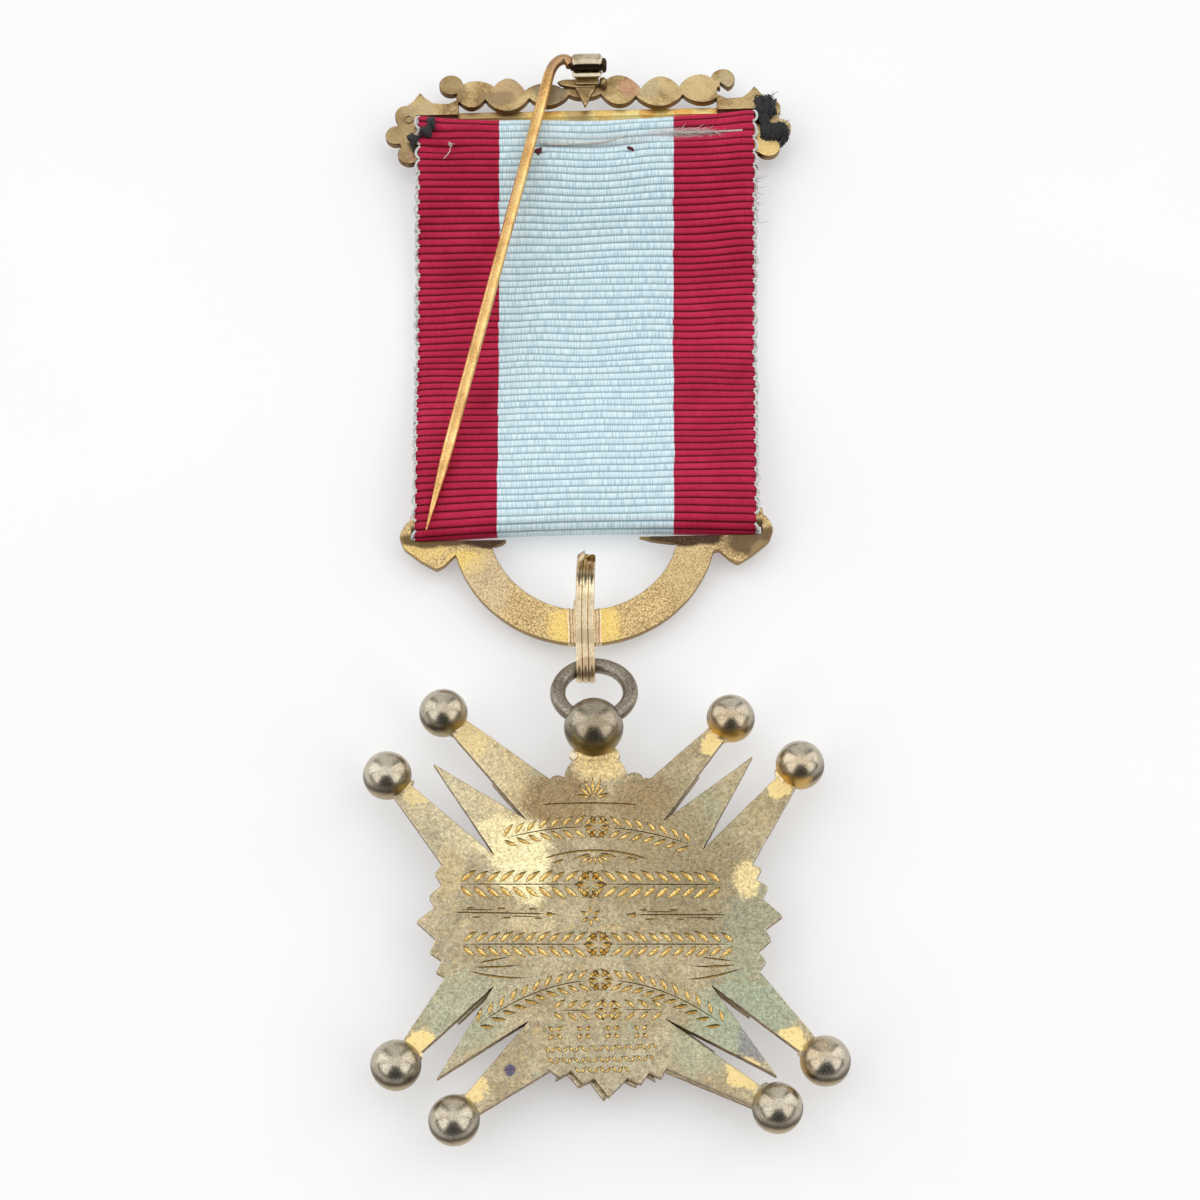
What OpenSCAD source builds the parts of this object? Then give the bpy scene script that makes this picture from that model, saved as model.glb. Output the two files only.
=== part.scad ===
// Breast jewel of a lodge, lying face down: a scrolled brooch bar with a hinged pin,
// a doubled ribbon, a half-ring suspender, a reeded hook, a jump ring and a balled star.
// Millimetres. +Z is up from the table, +Y runs from the star to the brooch bar.

/* [Ribbon] */
// Width of the ribbon
ribbon_w = 32.4; // [30:0.2:34]
// Thickness of one layer of ribbon
ribbon_t = 0.4; // [0.3:0.05:0.5]
// Length of the doubled ribbon, from fold to fold
ribbon_l = 46.9; // [44:0.1:56]
// Height of the ribbon's back where it sags lowest
ribbon_low = 1.25; // [1.1:0.05:1.6]
// Length over which the ribbon comes down from the brooch bar
sag_top = 18; // [12:1:22]
// Length over which the ribbon comes down from the suspender
sag_bottom = 22; // [12:1:22]
// Sideways place of the ribbon under the bar
ribbon_x = -0.75; // [-1:0.05:0]

/* [Rails] */
// Thickness of the two rails that carry the ribbon
rail_t = 1.6; // [1.4:0.1:1.8]
// Width of the two rails
rail_w = 1.9; // [1.6:0.1:2.2]
// Height of the rails' front faces above the table
rail_z = 1.2; // [1.1:0.1:1.5]
// Gap between ribbon and metal
ribbon_gap = 0.25; // [0.2:0.05:0.3]
// Gap between the ribbon's edges and the ends of its slots
slot_end_gap = 0.3; // [0.2:0.05:0.4]

/* [Brooch bar] */
// Distance of the spikes beyond the ribbon's edges
spike_past = 0.7; // [0.4:0.05:1.2]
// Thickness of the scrolled plate
bar_t = 0.8; // [0.6:0.05:1]
// Radius of the volutes
volute_r = 1.2; // [1:0.05:1.4]
// Height of the scrollwork above and below its middle line
scroll_h = 1.8; // [1.6:0.05:2]
// Thickness of the strip behind the scrollwork
strip_t = 0.8; // [0.6:0.05:1]
// Reach of the end ornaments beyond the spikes
end_reach = 3.45; // [3.2:0.05:3.8]
// Depth of the end ornaments below the spikes
end_depth = 8.5; // [7.6:0.1:9]
// Radius of the feet under the end ornaments
foot_r = 1; // [0.8:0.05:1.1]

/* [Hinge and pin] */
// Radius of the hinge knuckle
knuckle_r = 1.35; // [1.2:0.05:1.5]
// Length of the hinge knuckle
knuckle_l = 3; // [2.6:0.1:3.4]
// Height of the hinge axis above the back of the bar
hinge_rise = 1.6; // [1.55:0.05:1.9]
// Distance of the hinge axis above the line of the spikes
hinge_y = 1.7; // [1.5:0.05:1.9]
// Radius of the pin's wire
pin_r = 0.55; // [0.5:0.01:0.6]
// Radius of the pin's wire inside the knuckle
axle_r = 0.5; // [0.4:0.01:0.5]
// Running clearance round the pin in the knuckle
axle_gap = 0.05; // [0.03:0.01:0.08]
// Gap at each end of the knuckle
knuckle_end_gap = 0.1; // [0.05:0.05:0.2]
// Length of the pin from its crook to its tip
pin_l = 52.3; // [46:0.1:53]
// Angle of the pin across the ribbon
pin_slant = 13.8; // [8:0.1:15]
// Fall of the pin from the hinge to its tip
pin_fall = 0.6; // [0.3:0.05:0.65]
// Length of the pin's point
point_l = 9; // [6:0.5:12]
// Radius at the pin's tip
point_r = 0.12; // [0.1:0.01:0.2]

/* [Suspender] */
// Sideways place of the suspender under the bar
suspender_x = -1.2; // [-1.4:0.05:-0.5]
// Reach of the lugs beyond the slot for the ribbon
lug_reach = 0.7; // [0.5:0.05:1]
// Drop of the pointed lugs below the ribbon
lug_drop = 3.35; // [3:0.05:3.7]
// Thickness of the suspender's plate
suspender_t = 0.7; // [0.6:0.05:0.9]
// Outer radius of the half ring
half_ring_r = 12.4; // [11.8:0.1:12.8]
// Width of the half ring's band
half_ring_w = 3.5; // [3:0.1:4]
// Height of the half ring's centre above the ribbon's lower fold
half_ring_rise = 1.15; // [0.8:0.05:1.6]
// Sideways place of the half ring on the suspender
half_ring_x = -0.2; // [-0.4:0.05:0.2]

/* [Hook] */
// Width of the reeded strap
strap_w = 1.5; // [1.3:0.05:1.7]
// Thickness of the reeded strap
strap_t = 0.75; // [0.6:0.05:0.8]
// Depth of the grooves between the reeds
reed_depth = 0.12; // [0.05:0.01:0.15]
// Sideways place of the hook on the half ring
hook_x = -0.4; // [-0.6:0.05:0.2]
// Gap between the hook and what it holds
hook_gap = 0.06; // [0.03:0.01:0.08]
// Length of the hook's end in front of the half ring
hook_front_l = 2.6; // [2:0.1:3]
// Length of the hook's straight back, from the ring to the bend of its free end
hook_back_l = 6.8; // [6:0.1:8]
// Slope of the hook's back down to the half ring
hook_dip = 7; // [4:0.5:8]
// Radius of the bend of the free end
hook_tip_r = 2.2; // [1.8:0.1:2.6]
// Length of the straight tip that stands up
hook_tip_l = 1; // [0.6:0.1:1.6]
// Angle by which the free end stands up
hook_tip_turn = 82; // [60:1:88]

/* [Jump ring] */
// Radius of the jump ring to the middle of its wire
ring_r = 3.28; // [3:0.02:3.6]
// Radius of the jump ring's wire
wire_r = 0.7; // [0.6:0.01:0.75]
// Slope of the jump ring down to the hook
ring_tilt = 19; // [15:1:22]
// Distance of the jump ring's wire below the half ring's edge
ring_drop = 2.63; // [2.55:0.01:3]
// Height of the jump ring's wire in the hook
ring_z = 3.35; // [3.3:0.05:3.8]
// Sideways place of the jump ring's middle beside the top ball's
ring_off = 0.12; // [0:0.02:0.2]
// Running clearance round the wire in the top ball
ring_gap = 0.1; // [0.05:0.01:0.15]

/* [Star] */
// Radius of the circle through the balls
star_r = 22.9; // [20:0.1:26]
// Radius of the ray balls
ball_r = 2.18; // [1.9:0.02:2.5]
// Radius of the top ball
top_ball_r = 2.67; // [2.5:0.02:3]
// Depth of the ray balls' middles below the plate's back
ball_sink = 0.2; // [0:0.05:0.4]
// Height of the top ball's middle above the plate's back
top_ball_rise = 0.45; // [0.3:0.05:0.6]
// Distance of the jump ring's wire from the top ball's middle
wire_off = 0.52; // [0.3:0.02:0.7]
// Half width of the star's body
body_half = 13.7; // [12:0.1:15]
// Thickness of the star's plate
star_t = 0.9; // [0.8:0.05:1.1]
// Thickness of the raised layer on the front
front_t = 0.8; // [0.5:0.05:1]
// Radius of the plain boss on the front
boss_r = 9.5; // [7:0.1:10.5]
// Radius of the boss's lowest step, on which the star rests
step_r = 7; // [5:0.1:8]
// Width of a ray at its ball
ray_tip_w = 1.4; // [1:0.05:1.8]
// Height of the tallest tooth
tooth_h = 2.4; // [1.8:0.1:3]
// Radius of the crown's middle lobe
crown_r = 2.9; // [2.6:0.05:3.2]
// Turn of the star as it lies
star_turn = 0.9; // [0:0.1:2]
// Sideways place of the star under the bar
star_x = -0.74; // [-1.4:0.02:-0.2]

/* [Hidden] */
$fn = 48;
overlap = 0.05;

// Heights of the brooch bar
bar_z = rail_z + rail_t - bar_t;
bar_back = bar_z + bar_t;
hinge_z = bar_back + hinge_rise;

// The two ribbon folds and their rails, with y = 0 on the line of the spikes
fold_r = rail_t / 2 + ribbon_gap + ribbon_t;
fold_z = rail_z + rail_t / 2;
fold_top = -3.1;
fold_bottom = fold_top - ribbon_l;
top_rail_y = fold_top - ribbon_t - ribbon_gap;
bottom_rail_y = fold_bottom + ribbon_t + ribbon_gap + rail_w;

// The slots that the folds pass through
slot_gap = 0.3;
slot_top = fold_top + slot_gap;
slot_bottom = fold_bottom - slot_gap;
bar_half = ribbon_w / 2 + spike_past;
bar_slot_half = ribbon_w / 2 + abs(ribbon_x) + slot_end_gap;
suspender_slot_half = ribbon_w / 2 + abs(ribbon_x - suspender_x) + slot_end_gap / 2;
lug_half = suspender_slot_half + lug_reach;

// The suspender's back and the half ring's centre
suspender_back = fold_z + suspender_t / 2;
half_ring_y = fold_bottom + half_ring_rise;
half_ring_in = half_ring_r - half_ring_w;
half_ring_foot = half_ring_y - half_ring_r;

// The jump ring: its wire in the hook, its middle and its wire in the top ball
ring_top_y = half_ring_foot - ring_drop;
ring_y = ring_top_y - ring_r * cos(ring_tilt);
ring_mid_z = ring_z + ring_r * sin(ring_tilt);
ball_wire_y = ring_y - ring_r * cos(ring_tilt);
ball_wire_z = ring_mid_z + ring_r * sin(ring_tilt);
top_ball_up = 0.75 * star_r;
ring_x = star_x - top_ball_up * sin(star_turn) + ring_off;

// The star: the top ball, the plate and the star's middle
top_ball_y = ball_wire_y - wire_off;
top_ball_z = ball_wire_z - wire_off;
plate_back = top_ball_z - top_ball_rise;
plate_front = plate_back - star_t;
ball_z = plate_back - ball_sink;
star_y = top_ball_y - top_ball_up * cos(star_turn);

// Arms of the star. Angles in degrees; reaches are shares of the circle through the balls,
// and the two slit depths too. Each arm runs from ray a over the spike to ray b.
ANGLE_A = 0;
REACH_A = 1;
ANGLE_B = 2;
REACH_B = 3;
ANGLE_SPIKE = 4;
REACH_SPIKE = 5;
ANGLE_SLIT_A = 6;
DEPTH_SLIT_A = 7;
ANGLE_SLIT_B = 8;
DEPTH_SLIT_B = 9;
ARMS = [
    [35.5, 0.982, 55.2, 0.947, 44.8, 0.870, 30.4, 0.462, 54.7, 0.437],
    [124.8, 1.031, 143.9, 1.004, 135.0, 0.894, 125.6, 0.477, 148.8, 0.469],
    [215.7, 0.971, 233.7, 0.973, 224.5, 0.895, 213.6, 0.500, 235.3, 0.510],
    [308.3, 1.001, 322.8, 1.017, 313.2, 0.917, 297.2, 0.483, 322.7, 0.504]
];

// Corners between the arms, as shares of the body's half width: where ray a of the arm
// leaves the body and where ray b does
CORNERS = [
    [0.98, 0.28, 0.36, 0.90],
    [-0.29, 0.91, -1.01, 0.36],
    [-1.00, -0.39, -0.36, -1.02],
    [0.36, -1.04, 0.98, -0.43]
];

// Teeth of one cluster: place along it from -1 to 1, and height as a share of the tallest
TEETH = [
    [-1, 0], [-0.84, 0.28], [-0.63, 0.04], [-0.43, 0.52], [-0.23, 0.33], [0, 1],
    [0.33, 0.31], [0.56, 0.54], [0.71, 0.11], [0.91, 0.35], [1, 0]
];

// Waves of the scrollwork's upper and lower edges: place of a valley as a share of the spikes'
// half distance, its height and the swell up to the next valley as shares of the scroll height
TOP_WAVES = [
    [-0.775, 0.25, 0.46], [-0.558, 0.28, 0.7], [-0.374, 0, 0.42], [-0.15, 0.08, 0.6],
    [0.08, 0.3, 0.78], [0.321, -0.04, 0.76], [0.549, 0.07, 0.68], [0.78, 0.3, 0]
];
LOW_WAVES = [
    [-0.785, -0.4, -0.64], [-0.612, -0.53, -0.84], [-0.347, -0.53, -0.62],
    [-0.111, -0.35, -0.25], [0.081, -0.32, -0.68], [0.288, -0.5, -0.76],
    [0.569, -0.49, -0.42], [0.77, -0.75, 0]
];

// Lobes of an end ornament, outwards from the spike and down from it, with their radii:
// shares of the reach and of the depth
END_LOBES = [[0.39, 0.32, 0.34], [0.68, 0.6, 0.32], [0.3, 0.865, 0.34]];

// Middle of the table rectangle that the jewel covers
function polar(a, r) = [r * cos(a), r * sin(a)];
function turned(p, a) = [p[0] * cos(a) - p[1] * sin(a), p[0] * sin(a) + p[1] * cos(a)];
function ball_places() = [
    for (arm = ARMS)
        for (k = [0, 2])
            polar(arm[k], arm[k + 1] * star_r)
];
function balls_lying() = [for (p = ball_places()) turned(p, star_turn) + [star_x, star_y]];
balls = balls_lying();
volute_x = 0.815 * bar_half;
volute_y = 0.47 * scroll_h;
volute_lift = 0.06 * scroll_h;
end_x = bar_half + end_reach;
left_x = min(min([for (p = balls) p[0]]) - ball_r, -end_x);
right_x = max(max([for (p = balls) p[0]]) + ball_r, end_x);
low_y = min([for (p = balls) p[1]]) - ball_r;
high_y = max(volute_y + volute_lift + volute_r, hinge_y + knuckle_r);
middle = [(left_x + right_x) / 2, (low_y + high_y) / 2];

module at_origin() {
    translate([-middle[0], -middle[1], 0])
        children();
}

// A flat piece between two heights
module plate(from_z, to_z) {
    translate([0, 0, from_z])
        linear_extrude(to_z - from_z)
            children();
}

// A profile drawn as [along y, z], stretched along x about its middle
module profile_bar(length) {
    rotate([90, 0, 90])
        linear_extrude(length, center = true)
            children();
}

// Brooch bar
module rail(half) {
    profile_bar(2 * half) {
        translate([rail_t / 2, fold_z])
            circle(d = rail_t);
        translate([rail_t / 2, rail_z])
            square([rail_w - rail_t, rail_t]);
        translate([rail_w - rail_t / 2, fold_z])
            circle(d = rail_t);
    }
}

// Points of a row of waves: each one swells between two valleys
WAVE_STEPS = 8;
function wave_points(waves) = concat(
    [
        for (k = [0 : len(waves) - 2])
            for (i = [0 : WAVE_STEPS - 1])
                let (t = i / WAVE_STEPS, a = waves[k], b = waves[k + 1])
                    [
                        (a[0] + (b[0] - a[0]) * t) * bar_half,
                        (a[1] + (b[1] - a[1]) * t + a[2] * pow(sin(180 * t), 0.75)) * scroll_h
                    ]
    ],
    [[waves[len(waves) - 1][0] * bar_half, waves[len(waves) - 1][1] * scroll_h]]
);

module scrollwork() {
    low = wave_points(LOW_WAVES);
    polygon(concat(wave_points(TOP_WAVES), [for (k = [len(low) - 1 : -1 : 0]) low[k]]));
    translate([-volute_x, volute_y])
        circle(volute_r);
    difference() {
        translate([volute_x, volute_y + volute_lift])
            circle(volute_r);
        polygon([
            for (p = [[0.795, 0.3], [0.865, -0.3], [0.8, -0.8]])
                [p[0] * bar_half, p[1] * scroll_h]
        ]);
    }
}

module end_ornament(side) {
    neck = 0.77 * bar_half;
    function out(k) = side * (bar_half + k * end_reach);
    for (lobe = END_LOBES)
        translate([out(lobe[0]), -lobe[1] * end_depth])
            circle(lobe[2] * end_reach);
    polygon([
        [side * neck, -0.1 * end_depth], [out(-0.83), -0.17 * end_depth],
        [out(-0.37), -0.154 * end_depth], [out(-0.15), -0.08 * end_depth],
        [out(0), 0], [out(0.2), -0.12 * end_depth],
        [out(0.42), -0.2 * end_depth], [out(0.68), -0.35 * end_depth],
        [out(0.6), -0.7 * end_depth], [out(0.35), -0.96 * end_depth],
        [out(-0.1), -0.94 * end_depth], [out(-0.3), -0.6 * end_depth],
        [out(-0.3), -0.4 * end_depth], [side * neck, -0.36 * end_depth]
    ]);
}

module brooch_plate() {
    difference() {
        union() {
            scrollwork();
            for (side = [-1, 1])
                end_ornament(side);
        }
        ribbon_slot();
    }
}

// The slot above the upper rail, down to the middle of the fold
module ribbon_slot() {
    translate([-bar_slot_half, fold_top - fold_r])
        square([2 * bar_slot_half, slot_top - fold_top + fold_r]);
}

module rail_strip() {
    strip_top = -1.15 * scroll_h;
    strip_half = 0.79 * bar_half;
    translate([-strip_half, slot_top])
        square([2 * strip_half, strip_top - slot_top]);
}

module bar_feet() {
    chamfer = 0.3 * foot_r;
    for (side = [-1, 1])
        translate([side * (bar_slot_half + foot_r), -0.5 * end_depth, 0]) {
            translate([0, 0, chamfer])
                cylinder(r = foot_r, h = bar_z);
            cylinder(r1 = foot_r - chamfer, r2 = foot_r, h = chamfer);
        }
}

module hinge_seat() {
    seat_t = hinge_rise - 0.75 * knuckle_r;
    seat_half = 0.4 * knuckle_l;
    lip_l = 2.3 * knuckle_r;
    lip_t = 0.45 * bar_t;
    plate(bar_back - overlap, bar_back + seat_t)
        translate([-seat_half, hinge_y - 1.15 * knuckle_r])
            square([2 * seat_half, 1.9 * knuckle_r]);
    plate(bar_back - overlap, bar_back + lip_t)
        translate([-lip_l, hinge_y - 1.3 * knuckle_r])
            square([lip_l + seat_half, 0.8 * knuckle_r]);
    plate(bar_back - overlap, bar_back + lip_t)
        polygon([
            for (p = [[-0.95, 0.05], [-0.2, -1.35], [0.65, 0.05]])
                [p[0] * knuckle_r, p[1] * scroll_h]
        ]);
}

module knuckle() {
    translate([0, hinge_y, hinge_z])
        rotate([0, 90, 0])
            cylinder(r = knuckle_r, h = knuckle_l, center = true);
}

module axle_bore() {
    translate([0, hinge_y, hinge_z])
        rotate([0, 90, 0])
            cylinder(r = axle_r + axle_gap, h = 2 * knuckle_l, center = true);
}

module brooch_bar() {
    color("darkgoldenrod")
        at_origin()
            difference() {
                union() {
                    plate(bar_z, bar_back)
                        brooch_plate();
                    plate(bar_z - strip_t, bar_z + overlap)
                        rail_strip();
                    translate([0, top_rail_y - rail_w, 0])
                        rail(bar_half + 0.05 * end_reach);
                    bar_feet();
                    hinge_seat();
                    knuckle();
                }
                axle_bore();
            }
}

// Pin: the axle through the knuckle, and one swept wire for the crook and tapered shaft.
// The crook bends up from the axle and then over and down into the shaft.
bend_a_r = 0.7;
bend_a = 50;
bend_b_r = 1;
turn_b = 90 + bend_a - pin_slant;
pin_tip_angle = asin(pin_fall / pin_l);
WIRE_SIDES = 16;

function arc_points(c, r, from, to, steps) = [
    for (k = [0 : steps])
        c + polar(from + (to - from) * k / steps, r)
];
crook_top = polar(-90 - bend_a, bend_a_r) + [0, bend_a_r];
bend_b_mid = crook_top - polar(90 - bend_a, bend_b_r);
shaft_start = bend_b_mid + polar(90 - bend_a + turn_b, bend_b_r);
function along_shaft(d) = shaft_start + polar(-90 - pin_slant, d);
function pin_path() = concat(
    arc_points([0, bend_a_r], bend_a_r, -90, -85 - bend_a, 4),
    arc_points(bend_b_mid, bend_b_r, 90 - bend_a, 90 - bend_a + turn_b, 12),
    [along_shaft(pin_l - point_l), along_shaft(pin_l)]
);

// Direction of a flat path at point k
function heading(pts, k) =
    let (a = pts[max(k - 1, 0)], b = pts[min(k + 1, len(pts) - 1)])
        (b - a) / norm(b - a);

// A wire along a flat path, of radius r, with its last ring of radius last_r
module swept_wire(pts, r, last_r) {
    last = len(pts) - 1;
    ring_points = [
        for (k = [0 : last])
            let (t = heading(pts, k), here_r = k == last ? last_r : r)
                for (i = [0 : WIRE_SIDES - 1])
                    let (c = polar(i * 360 / WIRE_SIDES, here_r))
                        [pts[k][0] - c[0] * t[1], pts[k][1] + c[0] * t[0], c[1]]
    ];
    function corner(k, i) = k * WIRE_SIDES + i % WIRE_SIDES;
    sides = [
        for (k = [0 : last - 1])
            for (i = [0 : WIRE_SIDES - 1])
                [corner(k, i), corner(k + 1, i), corner(k + 1, i + 1), corner(k, i + 1)]
    ];
    start_cap = [[for (i = [0 : WIRE_SIDES - 1]) i]];
    end_cap = [[for (i = [WIRE_SIDES - 1 : -1 : 0]) corner(last, i)]];
    polyhedron(ring_points, concat(sides, start_cap, end_cap), convexity = 4);
}

module pin() {
    head_x = knuckle_l / 2 + knuckle_end_gap;
    start_x = -head_x;
    color("goldenrod")
        at_origin()
            translate([0, hinge_y, hinge_z])
                rotate([pin_tip_angle, 0, 0]) {
                    translate([start_x - overlap, 0, 0])
                        rotate([0, 90, 0])
                            cylinder(r = axle_r, h = 2 * head_x + overlap);
                    peened_head(head_x);
                    translate([start_x, 0, 0])
                        swept_wire(pin_path(), pin_r, point_r);
                }
}

module peened_head(head_x) {
    head_t = 0.5 * axle_r;
    translate([head_x - overlap, 0, 0])
        rotate([0, 90, 0]) {
            cylinder(r = 1.5 * axle_r, h = head_t);
            translate([0, 0, head_t])
                cylinder(r1 = 1.5 * axle_r, r2 = axle_r, h = 0.8 * head_t);
        }
}

// Ribbon: one band round both rails, which sags between them
RIBBON_STEPS = 32;
fold_top_mid = fold_top - fold_r;
fold_bottom_mid = fold_bottom + fold_r;
ribbon_front_low = 0.05;

function lift_at(d, run) = d < run ? (1 + cos(180 * d / run)) / 2 : 0;
function ribbon_lift(y) =
    max(lift_at(fold_top_mid - y, sag_top), lift_at(y - fold_bottom_mid, sag_bottom));
function step_y(k) = fold_bottom_mid + (fold_top_mid - fold_bottom_mid) * k / RIBBON_STEPS;
function back_z(y) = ribbon_low + (fold_z + fold_r - ribbon_low) * ribbon_lift(y);
function front_z(y) = ribbon_front_low + (fold_z - fold_r - ribbon_front_low) * ribbon_lift(y);
function fold_arc(mid_y, r, from) = [
    for (a = [from - 15 : -15 : from - 165])
        [mid_y + r * cos(a), fold_z + r * sin(a)]
];

// The band's outline, moved inwards by inset
function ribbon_outline(inset) = concat(
    [for (k = [0 : RIBBON_STEPS]) [step_y(k), back_z(step_y(k)) - inset]],
    fold_arc(fold_top_mid, fold_r - inset, 90),
    [for (k = [RIBBON_STEPS : -1 : 0]) [step_y(k), front_z(step_y(k)) + inset]],
    fold_arc(fold_bottom_mid, fold_r - inset, 270)
);

module ribbon() {
    color("firebrick")
        at_origin()
            translate([ribbon_x, 0, 0])
                profile_bar(ribbon_w)
                    difference() {
                        polygon(ribbon_outline(0));
                        polygon(ribbon_outline(ribbon_t));
                    }
}

// Suspender: rail, lugs and half ring. A lug's outline, outwards as a share of the half width
// and down from the ribbon's fold as a share of the drop.
LUG = [
    [0.9, 0.62], [0.946, 0.52], [0.984, 0.3], [1, 0.06], [0.978, -0.31], [0.887, -0.71],
    [0.802, -1], [0.757, -0.84], [0.704, -0.55], [0.66, -0.62], [0.56, -0.15], [0.85, 0]
];

module lug(side) {
    polygon([
        for (p = LUG)
            [side * p[0] * lug_half, fold_bottom + p[1] * lug_drop]
    ]);
}

module half_ring() {
    translate([half_ring_x, half_ring_y])
        difference() {
            circle(half_ring_r);
            circle(half_ring_in);
        }
}

// Small cusps inside the half ring, just below the ribbon
module cusps() {
    for (side = [-1, 1])
        polygon([
            for (p = [[0.58, 0.05], [0.8, -0.07], [0.95, -0.13], [1.1, 0.05]])
                [half_ring_x + side * p[0] * half_ring_in, slot_bottom + p[1] * half_ring_in]
        ]);
}

module suspender_plate() {
    difference() {
        union() {
            for (side = [-1, 1])
                lug(side);
            difference() {
                union() {
                    half_ring();
                    cusps();
                }
                translate([-lug_half, slot_bottom])
                    square([2 * lug_half, 2 * half_ring_r]);
            }
        }
        translate([-suspender_slot_half, slot_bottom])
            square([2 * suspender_slot_half, bottom_rail_y - slot_bottom]);
    }
}

module suspender() {
    color("darkkhaki")
        at_origin()
            translate([suspender_x, 0, 0]) {
                plate(suspender_back - suspender_t, suspender_back)
                    suspender_plate();
                translate([0, bottom_rail_y - rail_w, 0])
                    rail(lug_half - 0.5 * lug_reach);
            }
}

// Hook: a reeded strap, drawn as a path in the plane along y and z. It starts in front of
// the half ring, goes round its inner edge, back over it, round the jump ring and up again.
// The inner side of the ring's wire falls away by wire_sink across the width of the strap.
strap_reach = strap_w / 2 + abs(suspender_x + hook_x - ring_x);
wire_away = sqrt(ring_r * ring_r - strap_reach * strap_reach);
wire_sink = ring_r - wire_away + wire_r * (ring_r / wire_away - 1);
bend_mid = wire_r + hook_gap + (wire_sink + strap_t) / 2;
bend_centre = [ring_top_y, ring_z] + polar(180 - ring_tilt, wire_sink / 2);
edge_bend = (suspender_t + strap_t) / 2 + hook_gap;
inner_edge = [half_ring_y - half_ring_in, fold_z];
outer_edge = [half_ring_foot, fold_z];
back_end = bend_centre + polar(90 - hook_dip, bend_mid) + polar(-hook_dip, hook_back_l);
tip_centre = back_end + polar(90 - hook_dip, hook_tip_r);

function hook_path() = concat(
    [inner_edge + [-hook_front_l, -edge_bend]],
    arc_points(inner_edge, edge_bend, -90, 90, 8),
    [outer_edge + [-0.4 * strap_t, edge_bend]],
    arc_points(bend_centre, bend_mid, 285, 90 - hook_dip, 14),
    arc_points(tip_centre, hook_tip_r, 270 - hook_dip, 270 + hook_tip_turn, 6),
    [tip_centre + polar(270 + hook_tip_turn, hook_tip_r) + polar(hook_tip_turn, hook_tip_l)]
);

// The path moved sideways by off
function beside(pts, off) = [
    for (k = [0 : len(pts) - 1])
        pts[k] + off * [-heading(pts, k)[1], heading(pts, k)[0]]
];
function band_outline(pts, out_off, in_off) =
    let (far = beside(pts, out_off), near = beside(pts, in_off))
        concat(far, [for (k = [len(near) - 1 : -1 : 0]) near[k]]);

module hook() {
    REEDS = 3;
    groove = 0.09 * strap_w;
    reed_w = (strap_w - (REEDS - 1) * groove) / REEDS;
    color("tan")
        at_origin()
            translate([suspender_x + hook_x, 0, 0]) {
                profile_bar(strap_w)
                    polygon(band_outline(hook_path(), strap_t / 2 - reed_depth,
                        -strap_t / 2 + reed_depth));
                for (k = [0 : REEDS - 1])
                    translate([(k - (REEDS - 1) / 2) * (reed_w + groove), 0, 0])
                        profile_bar(reed_w)
                            polygon(band_outline(hook_path(), strap_t / 2, -strap_t / 2));
            }
}

// Jump ring
module ring_form(r) {
    translate([ring_x, ring_y, ring_mid_z])
        rotate([-ring_tilt, 0, 0])
            rotate_extrude()
                translate([ring_r, 0])
                    circle(r = r, $fn = 32);
}

module jump_ring() {
    color("dimgray")
        at_origin()
            ring_form(wire_r);
}

// Star
function edge_points(angle, reach, side) =
    let (tip = polar(angle, reach * star_r))
        tip + polar(angle + side * 90, ray_tip_w / 2);
function arm_outline(k) =
    let (arm = ARMS[k], c = CORNERS[k] * body_half)
        [
            [c[0], c[1]],
            edge_points(arm[ANGLE_A], arm[REACH_A], -1),
            edge_points(arm[ANGLE_A], arm[REACH_A], 1),
            polar(arm[ANGLE_SLIT_A], arm[DEPTH_SLIT_A] * star_r),
            polar(arm[ANGLE_SPIKE], arm[REACH_SPIKE] * star_r),
            polar(arm[ANGLE_SLIT_B], arm[DEPTH_SLIT_B] * star_r),
            edge_points(arm[ANGLE_B], arm[REACH_B], -1),
            edge_points(arm[ANGLE_B], arm[REACH_B], 1),
            [c[2], c[3]]
        ];
function last_corner(k) = [CORNERS[k][2], CORNERS[k][3]] * body_half;
function first_corner(k) = [CORNERS[k][0], CORNERS[k][1]] * body_half;

// Teeth between the corners a and b, standing out to the right of the way from a to b
function teeth(a, b) =
    let (along = (b - a) / 2, out = [along[1], -along[0]] / norm(along))
        [
            for (k = [1 : len(TEETH) - 2])
                (a + b) / 2 + TEETH[k][0] * along + TEETH[k][1] * tooth_h * out
        ];
function star_outline() = concat(
    arm_outline(0), arm_outline(1), teeth(last_corner(1), first_corner(2)),
    arm_outline(2), teeth(last_corner(2), first_corner(3)),
    arm_outline(3), teeth(last_corner(3), first_corner(0))
);

// Scalloped crown under the top ball
module crown() {
    translate([0, 0.89 * body_half])
        circle(crown_r);
    for (side = [-1, 1])
        translate([side * 0.25 * body_half, 0.88 * body_half])
            circle(0.3 * crown_r);
    translate([-0.31 * body_half, 0.6 * body_half])
        square([0.64 * body_half, 0.3 * body_half]);
}

module star_plan() {
    polygon(star_outline());
    crown();
}

module ray_balls() {
    for (p = ball_places())
        translate([p[0], p[1], ball_z])
            sphere(ball_r);
}

// The top ball with the short stem that ties it to the crown
module top_ball() {
    stem_w = 0.8 * top_ball_r;
    stem_y = 0.9 * body_half;
    translate([0, top_ball_up, top_ball_z])
        sphere(top_ball_r);
    translate([-stem_w / 2, stem_y, plate_front + 0.2 * star_t])
        cube([stem_w, top_ball_up - stem_y - 0.3 * top_ball_r, 0.6 * star_t]);
}

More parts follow.
